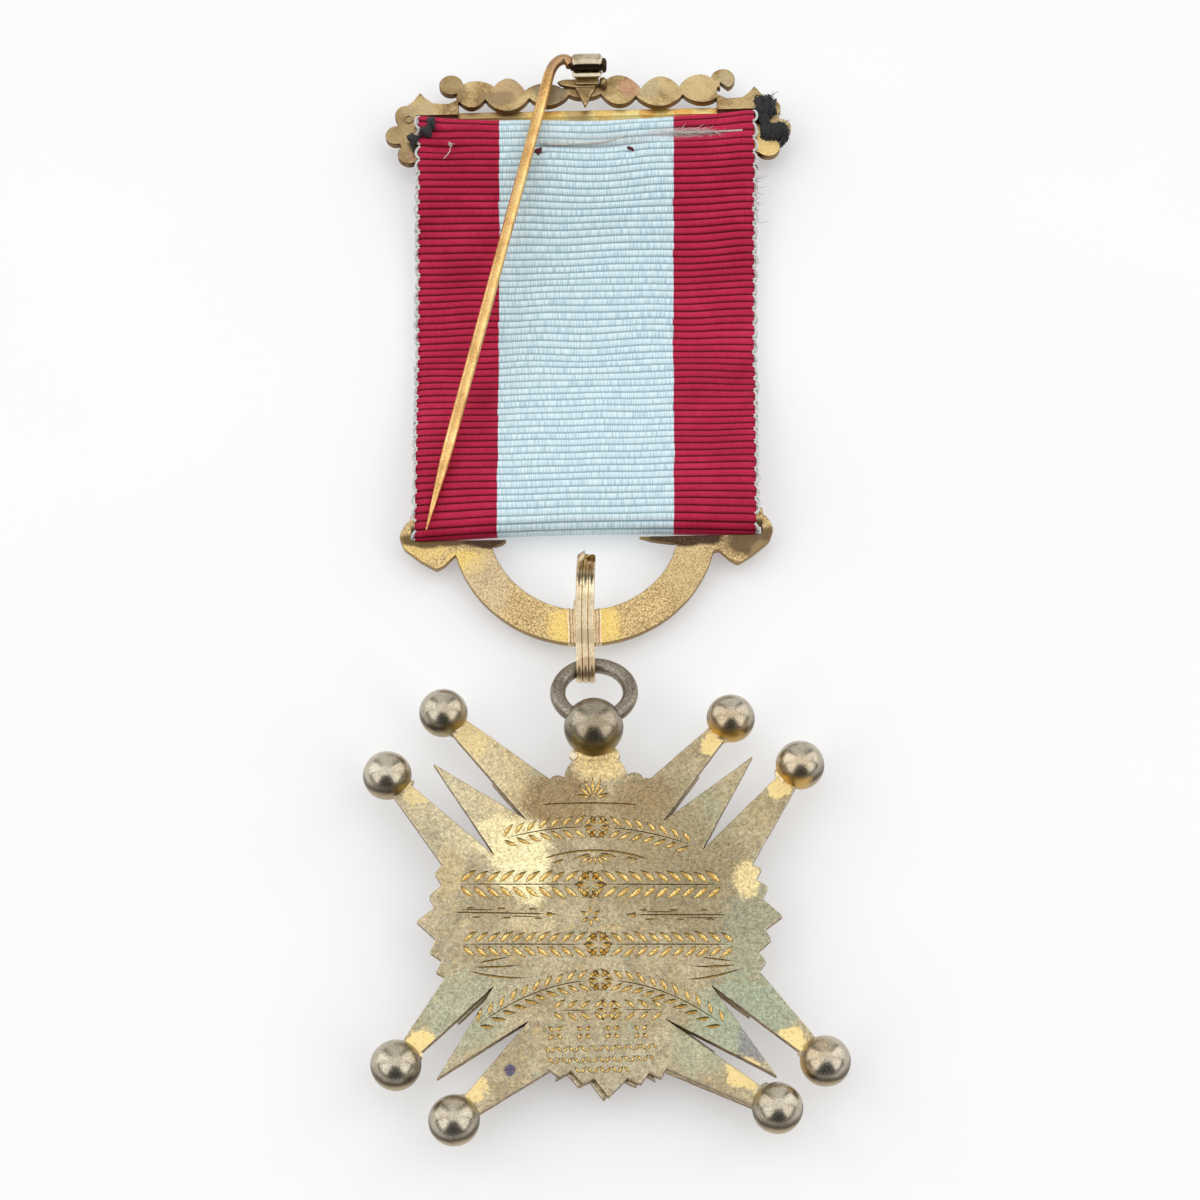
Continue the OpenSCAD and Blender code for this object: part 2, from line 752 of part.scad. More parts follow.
// The raised layer of the front, as a share of the body's size, and the plain stepped boss
FRONT_SHARE = 0.92;
module star_front() {
    boss_top = plate_front - front_t;
    step_top = boss_top / 2;
    plate(boss_top, plate_front + overlap)
        intersection() {
            scale(FRONT_SHARE)
                polygon(star_outline());
            circle(1.15 * body_half);
        }
    translate([0, 0, step_top])
        cylinder(r1 = 0.94 * boss_r, r2 = boss_r, h = boss_top - step_top + overlap);
    cylinder(r1 = 0.9 * step_r, r2 = step_r, h = step_top + overlap);
}

module star() {
    color("gray")
        at_origin()
            difference() {
                translate([star_x, star_y, 0])
                    rotate([0, 0, star_turn]) {
                        plate(plate_front, plate_back)
                            star_plan();
                        star_front();
                        ray_balls();
                        top_ball();
                    }
                ring_form(wire_r + ring_gap);
            }
}

brooch_bar();
pin();
ribbon();
suspender();
hook();
jump_ring();
star();
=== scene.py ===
import math
import random

import bpy
import numpy as np
from mathutils import Matrix, Vector, noise
from mathutils.geometry import delaunay_2d_cdt


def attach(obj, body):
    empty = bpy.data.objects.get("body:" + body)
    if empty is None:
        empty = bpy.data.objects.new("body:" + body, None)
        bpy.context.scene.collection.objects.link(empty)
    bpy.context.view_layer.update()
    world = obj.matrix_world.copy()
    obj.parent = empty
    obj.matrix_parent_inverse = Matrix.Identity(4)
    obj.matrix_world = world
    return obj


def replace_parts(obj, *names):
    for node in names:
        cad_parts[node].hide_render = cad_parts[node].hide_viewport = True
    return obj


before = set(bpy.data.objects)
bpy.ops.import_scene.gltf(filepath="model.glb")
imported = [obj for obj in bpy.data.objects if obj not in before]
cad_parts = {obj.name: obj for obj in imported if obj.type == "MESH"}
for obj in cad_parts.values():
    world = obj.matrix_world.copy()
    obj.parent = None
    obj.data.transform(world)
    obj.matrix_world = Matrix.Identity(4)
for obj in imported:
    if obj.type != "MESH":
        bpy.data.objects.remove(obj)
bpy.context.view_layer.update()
MM = 0.001
# Without a seed, the noise that moves the outlines would be another one in every run
noise.seed_set(3)

# All shapes are made in millimetres with y = 0 on the line of the bar's spikes. This is the
# way from there to the model's own origin.
TO_ROW = Vector((0.678734, 52.534, 0))

# The camera
PHOTO_SIZE = 1200
FOCAL_PX = 2800
ELEVATION = 65.0
TURN = 1.4
DISTANCE = 262 * MM
AIM = Vector((0.5987, -3.166, 0)) * MM


def add_camera():
    data = bpy.data.cameras.new("camera")
    data.sensor_width = 36
    data.lens = data.sensor_width * FOCAL_PX / PHOTO_SIZE
    data.clip_start = 0.01
    data.clip_end = 10
    camera = bpy.data.objects.new("camera", data)
    bpy.context.collection.objects.link(camera)
    turn = Matrix.Rotation(math.radians(-TURN), 4, "Z")
    turn = turn @ Matrix.Rotation(math.radians(90 - ELEVATION), 4, "X")
    camera.matrix_world = Matrix.Translation(AIM + turn.to_3x3() @ Vector((0, 0, DISTANCE))) @ turn
    bpy.context.scene.camera = camera


add_camera()


# Materials
class Nodes:
    """Short calls that add nodes to a tree. A value may be a number, a colour or a socket."""

    def __init__(self, tree):
        self.tree = tree

    def feed(self, value, socket):
        if isinstance(value, bpy.types.NodeSocket):
            self.tree.links.new(value, socket)
        else:
            socket.default_value = (*value, 1) if socket.type == "RGBA" else value

    def node(self, kind, output, values=(), **settings):
        """One output of a new node, whose inputs take (name or number, value) pairs"""
        node = self.tree.nodes.new("ShaderNode" + kind)
        for name, setting in settings.items():
            setattr(node, name, setting)
        for name, value in values:
            self.feed(value, node.inputs[name])
        return node.outputs[output]

    def number(self, operation, *values):
        return self.node("Math", 0, enumerate(values), operation=operation)

    def times(self, a, b):
        return self.number("MULTIPLY", a, b)

    def plus(self, a, b):
        return self.number("ADD", a, b)

    def minus(self, a, b):
        return self.number("SUBTRACT", a, b)

    def scaled(self, a, by, start):
        return self.number("MULTIPLY_ADD", a, by, start)

    def vector(self, operation, *values):
        output = "Value" if operation in ("LENGTH", "DOT_PRODUCT") else "Vector"
        return self.node("VectorMath", output, enumerate(values), operation=operation)

    def join(self, *values):
        return self.node("CombineXYZ", 0, enumerate(values))

    def split(self, vector):
        node = self.tree.nodes.new("ShaderNodeSeparateXYZ")
        self.feed(vector, node.inputs[0])
        return node.outputs

    def ease(self, value, low, high, to_low=0.0, to_high=1.0):
        names = ("Value", "From Min", "From Max", "To Min", "To Max")
        values = zip(names, (value, low, high, to_low, to_high))
        return self.node("MapRange", "Result", values, interpolation_type="SMOOTHSTEP")


class Look(Nodes):
    """A material. Its places and lengths are in millimetres."""

    def __init__(self, name, metallic=1.0, roughness=0.4):
        self.material = bpy.data.materials.new(name)
        self.material.use_nodes = True
        super().__init__(self.material.node_tree)
        self.shader = self.tree.nodes["Principled BSDF"]
        self.set("Metallic", metallic)
        self.set("Roughness", roughness)
        place = self.node("TexCoord", "Object")
        values = ((0, place), ("Scale", 1 / MM))
        self.place = self.node("VectorMath", "Vector", values, operation="SCALE")

    def set(self, name, value):
        self.feed(value, self.shader.inputs[name])

    def noise(self, scale, detail=3.0, rough=0.55, warp=0.0, at=None, stretch=None, shift=None):
        at = at or self.place
        if stretch:
            at = self.vector("MULTIPLY", at, stretch)
        if shift:
            at = self.vector("ADD", at, shift)
        names = ("Vector", "Scale", "Detail", "Roughness", "Distortion")
        return self.node("TexNoise", "Fac", zip(names, (at, scale, detail, rough, warp)))

    def ramp(self, value, stops):
        node = self.tree.nodes.new("ShaderNodeValToRGB")
        elements = node.color_ramp.elements
        while len(elements) < len(stops):
            elements.new(0.5)
        for element, (place, color) in zip(elements, stops):
            element.position = place
            element.color = (*color, 1)
        self.feed(value, node.inputs["Fac"])
        return node.outputs["Color"]

    def mix(self, share, a, b, way="MIX"):
        values = (("Factor", share), (6, a), (7, b))
        return self.node("Mix", 2, values, data_type="RGBA", blend_type=way)

    def patch(self, x, y, rx, ry, ragged=0.5, grain=0.6, edge=0.45, dither=0.0):
        """A mask that is 1 inside a ragged ellipse about (x, y); dither breaks its edge into grains"""
        away = self.vector("SUBTRACT", self.place, (x, y, 0))
        reach = self.vector("LENGTH", self.vector("MULTIPLY", away, (1 / rx, 1 / ry, 0)))
        reach = self.plus(reach, self.scaled(self.noise(grain, 4, 0.65), 2 * ragged, -ragged))
        if dither:
            reach = self.plus(reach, self.scaled(self.noise(4.5, 3, 0.8), 2 * dither, -dither))
        return self.ease(reach, 1 + edge / 2, 1 - edge / 2)

    def value_of(self, name):
        """A number that a mesh carries at its vertices"""
        return self.node("Attribute", "Fac", attribute_name=name)

    def normal(self):
        return self.node("NewGeometry", "Normal")

    def bump(self, height, depth):
        """Depth is the height of a full step"""
        values = (("Strength", 1), ("Distance", depth * MM), ("Height", height))
        self.set("Normal", self.node("Bump", "Normal", values))


def metal(
    name, dark, middle, light, speckle, roughness=(0.32, 0.5), patches=(), grain=0.5, slow=0.35, edge=None
):
    """Worn gilt: three tones of fine mottling under a slow one, patches, dark speckle and pits.
    A patch is (x, y, half width, half height, colour, strength); grain is the share of speckle;
    edge is a colour painted on the walls and rims, which face away from up: painted shade."""
    look = Look(name)
    color, tone, spots = gilt_color(look, dark, middle, light, speckle, patches, grain, slow)
    if edge:
        # Painted shade: walls and rims whose normals turn away from up take the edge colour, broken by noise
        slope = look.scaled(look.noise(1.3, 4, 0.7), 0.3, look.split(look.normal())[2])
        color = look.mix(look.ease(slope, 1.1, 0.85, 0, 0.8), color, edge)
    look.set("Base Color", color)
    gilt_surface(look, tone, spots, roughness)
    return look.material


def gilt_color(look, dark, middle, light, speckle, patches, grain, slow):
    """Colour, tone and mask of the dark speckle"""
    fine = look.noise(5.2, 3, 0.72)
    broad = look.noise(0.3, 5, 0.6, 0.5)
    tone = look.scaled(broad, slow, look.times(fine, 1 - slow))
    color = look.ramp(tone, [(0.38, dark), (0.52, middle), (0.68, light)])
    for x, y, rx, ry, paint, share in patches:
        mask = look.patch(x, y, rx, ry)
        thin = look.times(mask, look.ease(fine, 0.25, 0.55, share * 0.7, share))
        color = look.mix(thin, color, paint)
    dots = look.noise(8.5, 2, 0.6)
    spots = look.times(look.ease(dots, 0.56, 0.66), grain)
    return look.mix(spots, color, speckle), tone, spots


def gilt_surface(look, tone, spots, roughness):
    """Light tones are smoother, and speckle is pitted; roughness is (of light tones, of dark ones)"""
    rough = look.ease(tone, 0.4, 0.68, roughness[1], roughness[0])
    look.set("Roughness", look.scaled(spots, 0.15, rough))
    scratch = look.noise(1.5, 4, 0.6, stretch=(1, 9, 1))
    height = look.scaled(tone, 0.7, look.times(scratch, 0.3))
    look.bump(look.minus(height, look.times(spots, 0.5)), 0.02)


BAR_GILT = metal(
    "bar_gilt",
    (0.24, 0.14, 0.055),
    (0.6, 0.44, 0.21),
    (0.86, 0.66, 0.33),
    (0.16, 0.1, 0.05),
    (0.28, 0.46),
    grain=0.5,
    slow=0.66,
    # Painted shade on the walls and rims
    edge=(0.14, 0.08, 0.04),
    patches=(
        (-13.8, 0.6, 1.6, 1.4, (0.36, 0.25, 0.13), 0.7),
        (-8.0, 0.6, 1.8, 1.4, (0.6, 0.42, 0.24), 0.6),
        (-9.0, -0.9, 1.8, 0.9, (0.3, 0.2, 0.12), 0.7),
        (-3.8, -0.3, 1.6, 1.4, (0.27, 0.24, 0.17), 0.7),
        (4.4, 0.2, 1.2, 1.1, (0.68, 0.36, 0.24), 0.6),
        (6.2, 0.2, 1.2, 1.4, (0.62, 0.52, 0.33), 0.6),
        (10.5, 0.0, 3.2, 1.5, (0.74, 0.56, 0.29), 0.7),
        (14.6, 0.7, 1.4, 1.0, (0.52, 0.44, 0.28), 0.6),
        (-18.6, -4.8, 1.9, 3.4, (0.4, 0.29, 0.15), 0.6),
        (-17.0, -2.4, 1.6, 1.2, (0.62, 0.5, 0.3), 0.5),
        (16.4, -1.6, 1.6, 1.3, (0.66, 0.5, 0.25), 0.6),
        (17.9, -7.4, 1.6, 1.5, (0.92, 0.68, 0.28), 0.9),
        (19.8, -4.6, 1.0, 1.2, (0.74, 0.6, 0.34), 0.8),
    ),
)
# Brass painted nearly black: painted shade of the knuckle's mouth, where the axle shows; the pin's head
# shares it
AXLE_PAINTED_SHADE = metal(
    "axle_painted_shade", (0.03, 0.02, 0.012), (0.07, 0.045, 0.025), (0.16, 0.1, 0.05), (0.02, 0.015, 0.01)
)
KNUCKLE_GILT = metal(
    "knuckle_gilt",
    (0.36, 0.29, 0.18),
    (0.6, 0.52, 0.37),
    (0.72, 0.64, 0.48),
    (0.22, 0.15, 0.08),
    (0.1, 0.2),
    grain=0.12,
    slow=0.85,
)
# Its light and middle tones are raised to full brightness against the scrolls' shadow over the strip:
# painted light on a brighter gold
STRIP_GILT = metal(
    "strip_gilt",
    (0.8, 0.44, 0.11),
    (1.0, 0.74, 0.26),
    (1.0, 0.88, 0.45),
    (0.4, 0.17, 0.05),
    (0.26, 0.4),
    slow=0.6,
    patches=(
        (-10.0, -2.4, 3.6, 1.0, (0.38, 0.26, 0.14), 0.8),
        (-1.0, -2.4, 1.6, 0.8, (0.42, 0.3, 0.16), 0.6),
        (6.0, -2.4, 0.9, 0.6, (0.8, 0.38, 0.08), 0.7),
        (9.6, -2.4, 1.0, 0.6, (0.84, 0.42, 0.1), 0.7),
    ),
)
SUSPENDER_GILT = metal(
    "suspender_gilt",
    (0.3, 0.18, 0.09),
    (0.74, 0.55, 0.26),
    (1.0, 0.8, 0.42),
    (0.22, 0.12, 0.07),
    grain=0.9,
    slow=0.2,
    # Painted shade on the walls and rims
    edge=(0.3, 0.2, 0.1),
    patches=(
        (-0.2, -59.6, 3.4, 2.5, (1.0, 0.74, 0.25), 1.0),
        (-15.8, -51.0, 2.6, 1.5, (0.9, 0.66, 0.25), 0.75),
        (-11.4, -52.6, 2.0, 1.2, (0.95, 0.7, 0.22), 0.85),
        (9.6, -54.0, 2.4, 3.2, (0.66, 0.52, 0.27), 0.5),
        (-9.4, -55.0, 2.4, 3.2, (0.72, 0.58, 0.4), 0.5),
        # Painted shadow of the ribbon's lower fold along the slot's edge
        (15.9, -51.0, 3.2, 1.5, (0.09, 0.055, 0.035), 0.85),
        (16.6, -52.2, 1.3, 1.1, (0.5, 0.36, 0.18), 0.5),
        # These three are painted shadow of the ribbon's lower fold along the slot's edge too
        (-14.0, -50.2, 4.0, 0.75, (0.07, 0.04, 0.025), 0.9),
        (-8.6, -50.5, 2.6, 0.75, (0.06, 0.035, 0.025), 1.0),
        (9.2, -50.6, 4.0, 0.85, (0.06, 0.035, 0.025), 1.0),
    ),
)
PIN_BRASS = metal(
    "pin_brass",
    (0.52, 0.3, 0.1),
    (0.92, 0.57, 0.22),
    (1.0, 0.74, 0.38),
    (0.26, 0.12, 0.04),
    (0.22, 0.38),
    slow=0.6,
    grain=0.4,
    patches=((-2.6, 0.4, 1.8, 2.4, (0.3, 0.18, 0.12), 0.75), (-8.5, -27, 0.8, 2.5, (1.0, 0.72, 0.36), 0.5)),
)
RING_SILVER = metal(
    "ring_silver",
    (0.16, 0.135, 0.1),
    (0.33, 0.285, 0.225),
    (0.5, 0.44, 0.36),
    (0.1, 0.08, 0.055),
    (0.26, 0.4),
)


def ball_silver(name, dark, middle, light, gold):
    """Polished balls: rubbed on top, with painted reflection that darkens the flanks, most towards the
    front, and lightens them again below; with stains of (x, y, radius, colour) low on them"""
    look = Look(name)
    color, tone, spots = gilt_color(look, dark, middle, light, (0.16, 0.12, 0.08), (), 0.3, 0.5)
    # Painted reflection: the flanks take a dark brown for the room's dark front, and a lighter brown below
    # it for the floor
    slope = look.vector("DOT_PRODUCT", look.normal(), (0, 0.35, 1))
    slope = look.plus(slope, look.scaled(look.noise(0.9, 4, 0.65), 0.3, -0.15))
    color = look.mix(look.ease(slope, 0.48, 0.1, 0, 0.93), color, (0.07, 0.05, 0.03))
    color = look.mix(look.ease(slope, 0.12, -0.22, 0, 0.9), color, (0.5, 0.4, 0.25))
    low = look.scaled(look.ease(slope, 0.6, 0.1), 0.75, 0.2)
    for x, y, r, paint in gold:
        mask = look.times(look.patch(x, y, r, r, 0.5, 1.2, 0.5, 0.4), low)
        color = look.mix(mask, color, paint)
    look.set("Base Color", color)
    rough = look.ease(slope, 0.2, 0.6, 0.34, 0.24)
    look.set("Roughness", look.scaled(spots, 0.12, rough))
    brushed = look.noise(3.5, 3, 0.6, stretch=(3, 1, 1))
    look.bump(look.scaled(brushed, 0.5, look.times(spots, -0.8)), 0.012)
    return look.material


# Stains as (x, y, half width, half height, colour, strength)
STRAP_STAINS = (
    (-1.6, -64.6, 1.4, 0.9, (0.34, 0.22, 0.12), 0.7),
    (-1.6, -61.5, 1.4, 0.8, (0.52, 0.42, 0.25), 0.6),
    (-1.5, -54.6, 1.2, 1.0, (0.62, 0.48, 0.3), 0.4),
)


def strap_gilt():
    """Pale gilt, brown in the grooves between the reeds and round the ring"""
    look = Look("strap_gilt")
    tones = ((0.68, 0.54, 0.34), (0.96, 0.82, 0.56), (1.0, 0.92, 0.7), (0.42, 0.3, 0.16))
    color, tone, spots = gilt_color(look, *tones, STRAP_STAINS, 0.3, 0.4)
    groove = look.scaled(look.noise(1.6, 3), 0.06, look.value_of("depth"))
    color = look.mix(look.ease(groove, 0.11, 0.2, 0, 0.7), color, (0.32, 0.2, 0.1))
    look.set("Base Color", color)
    gilt_surface(look, tone, spots, (0.2, 0.34))
    return look.material


SADDLE_GILT = metal(
    "saddle_gilt",
    (0.55, 0.42, 0.26),
    (0.86, 0.7, 0.46),
    (0.98, 0.86, 0.64),
    (0.4, 0.26, 0.12),
    (0.22, 0.36),
    grain=0.4,
)


# Shapes
def wander(x, y, z):
    """Smooth noise about 0"""
    return noise.noise(Vector((x, y, z)))


def rotation(angle, axis="Z"):
    return Matrix.Rotation(math.radians(angle), 3, axis)


def polar(angle, r, about=(0, 0)):
    return (about[0] + r * math.cos(math.radians(angle)), about[1] + r * math.sin(math.radians(angle)))


def circle(x, y, r, count=64):
    return [polar(360 * k / count, r, (x, y)) for k in range(count)]


def rectangle(x0, y0, x1, y1):
    return [(x0, y0), (x1, y0), (x1, y1), (x0, y1)]


def pairs(loop):
    """Each point of a closed loop with the next one"""
    return zip(loop, loop[1:] + loop[:1])


def neighbours(loop):
    """Each point of a closed loop between its neighbours"""
    points = [Vector(p) for p in loop]
    return zip(points[-1:] + points[:-1], points, points[1:] + points[:1])


def net(rows, columns, closed=False, around=True, start=0):
    """Faces between rows of points: closed joins the last row to the first, around closes each row"""
    faces = []
    for i in range(rows if closed else rows - 1):
        a, b = start + i * columns, start + (i + 1) % rows * columns
        for k in range(columns if around else columns - 1):
            after = (k + 1) % columns
            faces.append((a + k, a + after, b + after, b + k))
    return faces


def signed_area(loop):
    return sum(ax * by - bx * ay for (ax, ay), (bx, by) in pairs(loop)) / 2


def counter_clockwise(loop):
    loop = [tuple(p[:2]) for p in loop]
    return loop if signed_area(loop) > 0 else loop[::-1]


# Points closer than this are one point
NEAR = 1e-5


def region(adds, cuts=()):
    """Boundary loops of the adds' union less the cuts, each with the material on its left"""
    corners, faces = [], []
    for loop in [*adds, *cuts]:
        loop = counter_clockwise(loop)
        faces.append(list(range(len(corners), len(corners) + len(loop))))
        corners.extend(Vector(p) for p in loop)
    found = delaunay_2d_cdt(corners, [], faces, 1, NEAR)
    points, triangles, sources = found[0], found[2], found[5]
    kept = []
    for triangle, source in zip(triangles, sources):
        if source and all(k < len(adds) for k in source):
            kept.append(triangle)
    return border(points, kept)


def border(points, triangles):
    """The loops round a set of triangles"""
    edges = {}
    for triangle in triangles:
        for a, b in pairs(triangle):
            if (b, a) in edges:
                del edges[(b, a)]
            else:
                edges[(a, b)] = True
    after = {}
    for a, b in edges:
        after.setdefault(a, []).append(b)
    loops = []
    while after:
        start = next(iter(after))
        loop = [start]
        while True:
            here = loop[-1]
            step = after[here].pop()
            if not after[here]:
                del after[here]
            if step == start:
                break
            loop.append(step)
        loops.append([tuple(points[k]) for k in loop])
    return loops


# A turn of the outline by more than this many degrees is a corner
CORNER = 25


def turn_at(a, b, c):
    one, two = Vector(b) - Vector(a), Vector(c) - Vector(b)
    return math.degrees(abs(one.angle_signed(two, 0)))


def tidy(loop, least=0.08):
    """The loop without its shortest edges"""
    out = []
    for k, point in enumerate(loop):
        if out and (Vector(point) - Vector(out[-1])).length < least:
            if turn_at(loop[k - 1], point, loop[(k + 1) % len(loop)]) > CORNER:
                out[-1] = point
            continue
        out.append(point)
    if (Vector(out[0]) - Vector(out[-1])).length < least:
        out.pop()
    return out


def rounded(loop, r):
    """The loop with its sharp corners rounded"""
    out = []
    for a, b, c in neighbours(loop):
        if turn_at(a, b, c) < CORNER:
            out.append(tuple(b))
            continue
        before = b + (a - b).normalized() * min(r, (a - b).length / 3)
        after = b + (c - b).normalized() * min(r, (c - b).length / 3)
        for t in (0, 0.25, 0.5, 0.75, 1):
            out.append(tuple(before * (1 - t) ** 2 + b * 2 * t * (1 - t) + after * t * t))
    return out


def dense(loop, step, wobble=0.0, seed=0.0):
    """The loop with its long edges divided, and moved a little as by a file"""
    out = []
    for a, b in pairs([Vector(p) for p in loop]):
        parts = max(1, round((b - a).length / step))
        for i in range(parts):
            p = a.lerp(b, i / parts)
            shift = noise.noise_vector(Vector((p.x * 0.9, p.y * 0.9, seed)))
            out.append((p.x + shift.x * wobble, p.y + shift.y * wobble))
    return out


# Steps of a bevel in degrees, and the flat beside it that keeps its shading apart
BEVEL_ANGLES = (22.5, 45, 67.5, 90)
SUPPORT = 0.05


def from_rim(points, loops):
    """Distance of each point from the nearest edge of the loops"""
    edges = np.array([edge for loop in loops for edge in pairs(loop)])
    starts = edges[:, 0]
    ways = edges[:, 1] - starts
    squares = np.maximum((ways**2).sum(1), 1e-12)
    nearest = []
    for point in points:
        away = np.array(point) - starts
        share = np.clip((away * ways).sum(1) / squares, 0, 1)
        nearest.append(np.sqrt((((away - ways * share[:, None]) ** 2).sum(1)).min()))
    return nearest


def rim_points(loops, bevel):
    """Points at the bevel's steps inside the loops, as (point, distance from the rim)"""
    steps = [bevel * (1 - math.cos(math.radians(a))) for a in BEVEL_ANGLES] + [bevel + SUPPORT]
    points, wanted = [], []
    for loop in loops:
        for a, b, c in neighbours(loop):
            way = (b - a).normalized() + (c - b).normalized()
            if way.length < 1e-6:
                continue
            inwards = Vector((-way.y, way.x)).normalized()
            for step in steps:
                points.append(tuple(b + inwards * step))
                wanted.append(step)
    found = zip(points, wanted, from_rim(points, loops))
    return [(point, far) for point, want, far in found if far > 0.93 * want]


def scatter(loops, step, strokes):
    """Points on a grid of triangles over the loops, clear of their rims and of the strokes"""
    xs = [p[0] for loop in loops for p in loop]
    ys = [p[1] for loop in loops for p in loop]
    points = []
    row = 0
    y = min(ys)
    while y < max(ys):
        x = min(xs) + (row % 2) * step / 2
        while x < max(xs):
            points.append((x, y))
            x += step
        y += step * 0.87
        row += 1
    reach = from_rim(points, loops)
    points = [p for p, far in zip(points, reach) if far > 0.3 * step]
    for stroke in strokes:
        middle = np.array([(x, y) for x, y, half in stroke])
        half = max(half for x, y, half in stroke) + 0.08
        points = [p for p in points if ((middle - p) ** 2).sum(1).min() > half**2]
    return points


def plate(loops, top, low, bevel=0.08, grid=0.0, strokes=(), bend=None):
    """A plate between two heights, as (vertices, faces, faces that are cut, depths of the
    vertices in a cut). Strokes are engraved in its upper face. bend(x, y) raises both faces."""
    rim = [p for loop in loops for p in loop]
    edge = rim_points(loops, bevel)
    inner = scatter(loops, grid, strokes) if grid else []
    rises = [math.sqrt(max(0, bevel**2 - max(0, bevel - far) ** 2)) for _, far in edge]
    outer = {k for k, loop in enumerate(loops) if signed_area(loop) > 0}
    rings, at = [], 0
    for loop in loops:
        rings.append(list(range(at, at + len(loop))))
        at += len(loop)
    vertices, faces, cut = [], [], set()
    for sign, level in ((1, top), (-1, low)):
        first = len(vertices)
        middle = level - sign * bevel
        points = [Vector(p) for p in (*rim, *[p for p, _ in edge], *inner)]
        heights = [middle] * len(rim) + [middle + sign * rise for rise in rises] + [level] * len(inner)
        contours = [ring if k in outer else ring[::-1] for k, ring in enumerate(rings)]
        lines = []
        if sign > 0:
            contours += [stroke_outline(stroke, points, heights, lines, top) for stroke in strokes]
        found = delaunay_2d_cdt(points, lines, contours, 1, NEAR)
        # The rim's points are kept as they are, so that the walls fit both faces
        vertices += [(*p, middle) for p in points[: len(rim)]]
        names = []
        for point, sources in zip(found[0], found[3]):
            if sources and sources[0] < len(rim):
                names.append(first + sources[0])
                continue
            names.append(len(vertices))
            vertices.append((*point, min([heights[i] for i in sources], default=top)))
        for triangle, sources in zip(found[2], found[5]):
            within = {k for k in sources if k < len(loops)}
            if not within or within - outer:
                continue
            if len(within) < len(set(sources)):
                cut.add(len(faces))
            faces.append(tuple(names[k] for k in triangle)[::sign])
        if sign > 0:
            second = len(vertices)
    for ring in rings:
        faces += [(a, second + a, second + b, b) for a, b in pairs(ring)]
    depths = [0.0] * len(vertices)
    for k in cut:
        for i in faces[k]:
            depths[i] = top - vertices[i][2]
    if bend:
        vertices = [(x, y, z + bend(x, y)) for x, y, z in vertices]
    return vertices, faces, cut, depths


# How far the file strays
WOBBLE = 0.03
# Depth of an engraved stroke as a share of its half width
CUT_SLOPE = 0.75


def stroke_outline(stroke, points, heights, lines, top):
    """Adds an engraved stroke's points and its middle line, and gives its outline. A stroke is
    a list of (x, y, half width)."""
    left, right, middle = [], [], []
    count = len(stroke)
    for k, (x, y, half) in enumerate(stroke):
        a, b = stroke[max(k - 1, 0)], stroke[min(k + 1, count - 1)]
        along = Vector((b[0] - a[0], b[1] - a[1])).normalized()
        here = Vector((x, y))
        side = Vector((-along.y, along.x))
        middle.append(len(points))
        points.append(here)
        heights.append(top - half * CUT_SLOPE)
        if half < 0.01:
            continue
        for sign, into in ((1, left), (-1, right)):
            into.append(len(points))
            points.append(here + side * half * sign)
            heights.append(top)
    lines.extend(zip(middle, middle[1:]))
    outline = list(right)
    if stroke[0][2] < 0.01:
        outline.insert(0, middle[0])
    if stroke[-1][2] < 0.01:
        outline.append(middle[-1])
    return outline + left[::-1]


def finished(loops, step=0.45, corner=0.12, seed=0.0):
    """Outlines as filed by hand"""
    return [dense(rounded(tidy(loop), corner), step, WOBBLE, seed) for loop in loops]


def slab(loop, top, low, bevel, corner, step=0.5):
    """A small plate of one outline"""
    return plate(finished([counter_clockwise(loop)], step, corner), top, low, bevel)


def along_x(vertices):
    """A plate's (u, v, w) as (x, y, z) = (w, u, v)"""
    return [(w, u, v) for u, v, w in vertices]


def caps(rows, columns):
    """Faces over the first and the last row"""
    last = (rows - 1) * columns
    return [tuple(range(columns))[::-1], tuple(range(last, last + columns))]


def sweep(points, section, side=None, closed=False, scales=None):
    """A section of (across, up) points carried along a path, as (vertices, faces). It may be a
    function of the point's number."""
    points = [Vector(p) for p in points]
    section_at = section if callable(section) else lambda k: section
    count, size = len(points), len(section_at(0))
    vertices = []
    across = None
    for k, point in enumerate(points):
        if closed:
            ahead = points[(k + 1) % count] - points[k - 1]
        else:
            ahead = points[min(k + 1, count - 1)] - points[max(k - 1, 0)]
        ahead.normalize()
        if side is not None:
            across = Vector(side)
        elif across is None:
            across = ahead.orthogonal()
        across = (across - ahead * across.dot(ahead)).normalized()
        up = across.cross(ahead)
        scale = scales[k] if scales else 1
        for a, b in section_at(k):
            vertices.append(tuple(point + across * a * scale + up * b * scale))
    faces = net(count, size, closed)
    return vertices, faces if closed else faces + caps(count, size)


def ball(r, rings=28, around=48, dent=0.0, seed=0.0, stretch=(1, 1, 1)):
    """A sphere, a little uneven, as (vertices, faces)"""
    vertices = []
    for i in range(1, rings):
        down = math.pi * i / rings
        for k in range(around):
            turn = 2 * math.pi * k / around
            way = Vector((math.sin(down) * math.cos(turn), math.sin(down) * math.sin(turn), math.cos(down)))
            far = r + dent * noise.noise(way * 1.3 + Vector((seed, 0, 0)))
            vertices.append(tuple(way[j] * far * stretch[j] for j in range(3)))
    north, south = len(vertices), len(vertices) + 1
    vertices += [(0, 0, r * stretch[2]), (0, 0, -r * stretch[2])]
    faces = [(a, d, c, b) for a, b, c, d in net(rings - 1, around)]
    last = (rings - 2) * around
    for k in range(around):
        after = (k + 1) % around
        faces += [(north, k, after), (south, last + after, last + k)]
    return vertices, faces


def moved(shape, by, turn=None):
    vertices, *rest = shape
    turn = turn or Matrix.Identity(3)
    return ([tuple(turn @ Vector(v) + Vector(by)) for v in vertices], *rest)


def joined(*shapes):
    """Several shapes as one list of vertices and faces"""
    vertices, faces = [], []
    for shape in shapes:
        start = len(vertices)
        vertices.extend(shape[0])
        faces.extend(tuple(k + start for k in face) for face in shape[1])
    return vertices, faces


# Edges sharper than this many degrees aren't shaded smooth
SHARP = 30


def smooth(mesh):
    mesh.shade_smooth()
    mesh.set_sharp_from_angle(angle=math.radians(SHARP))


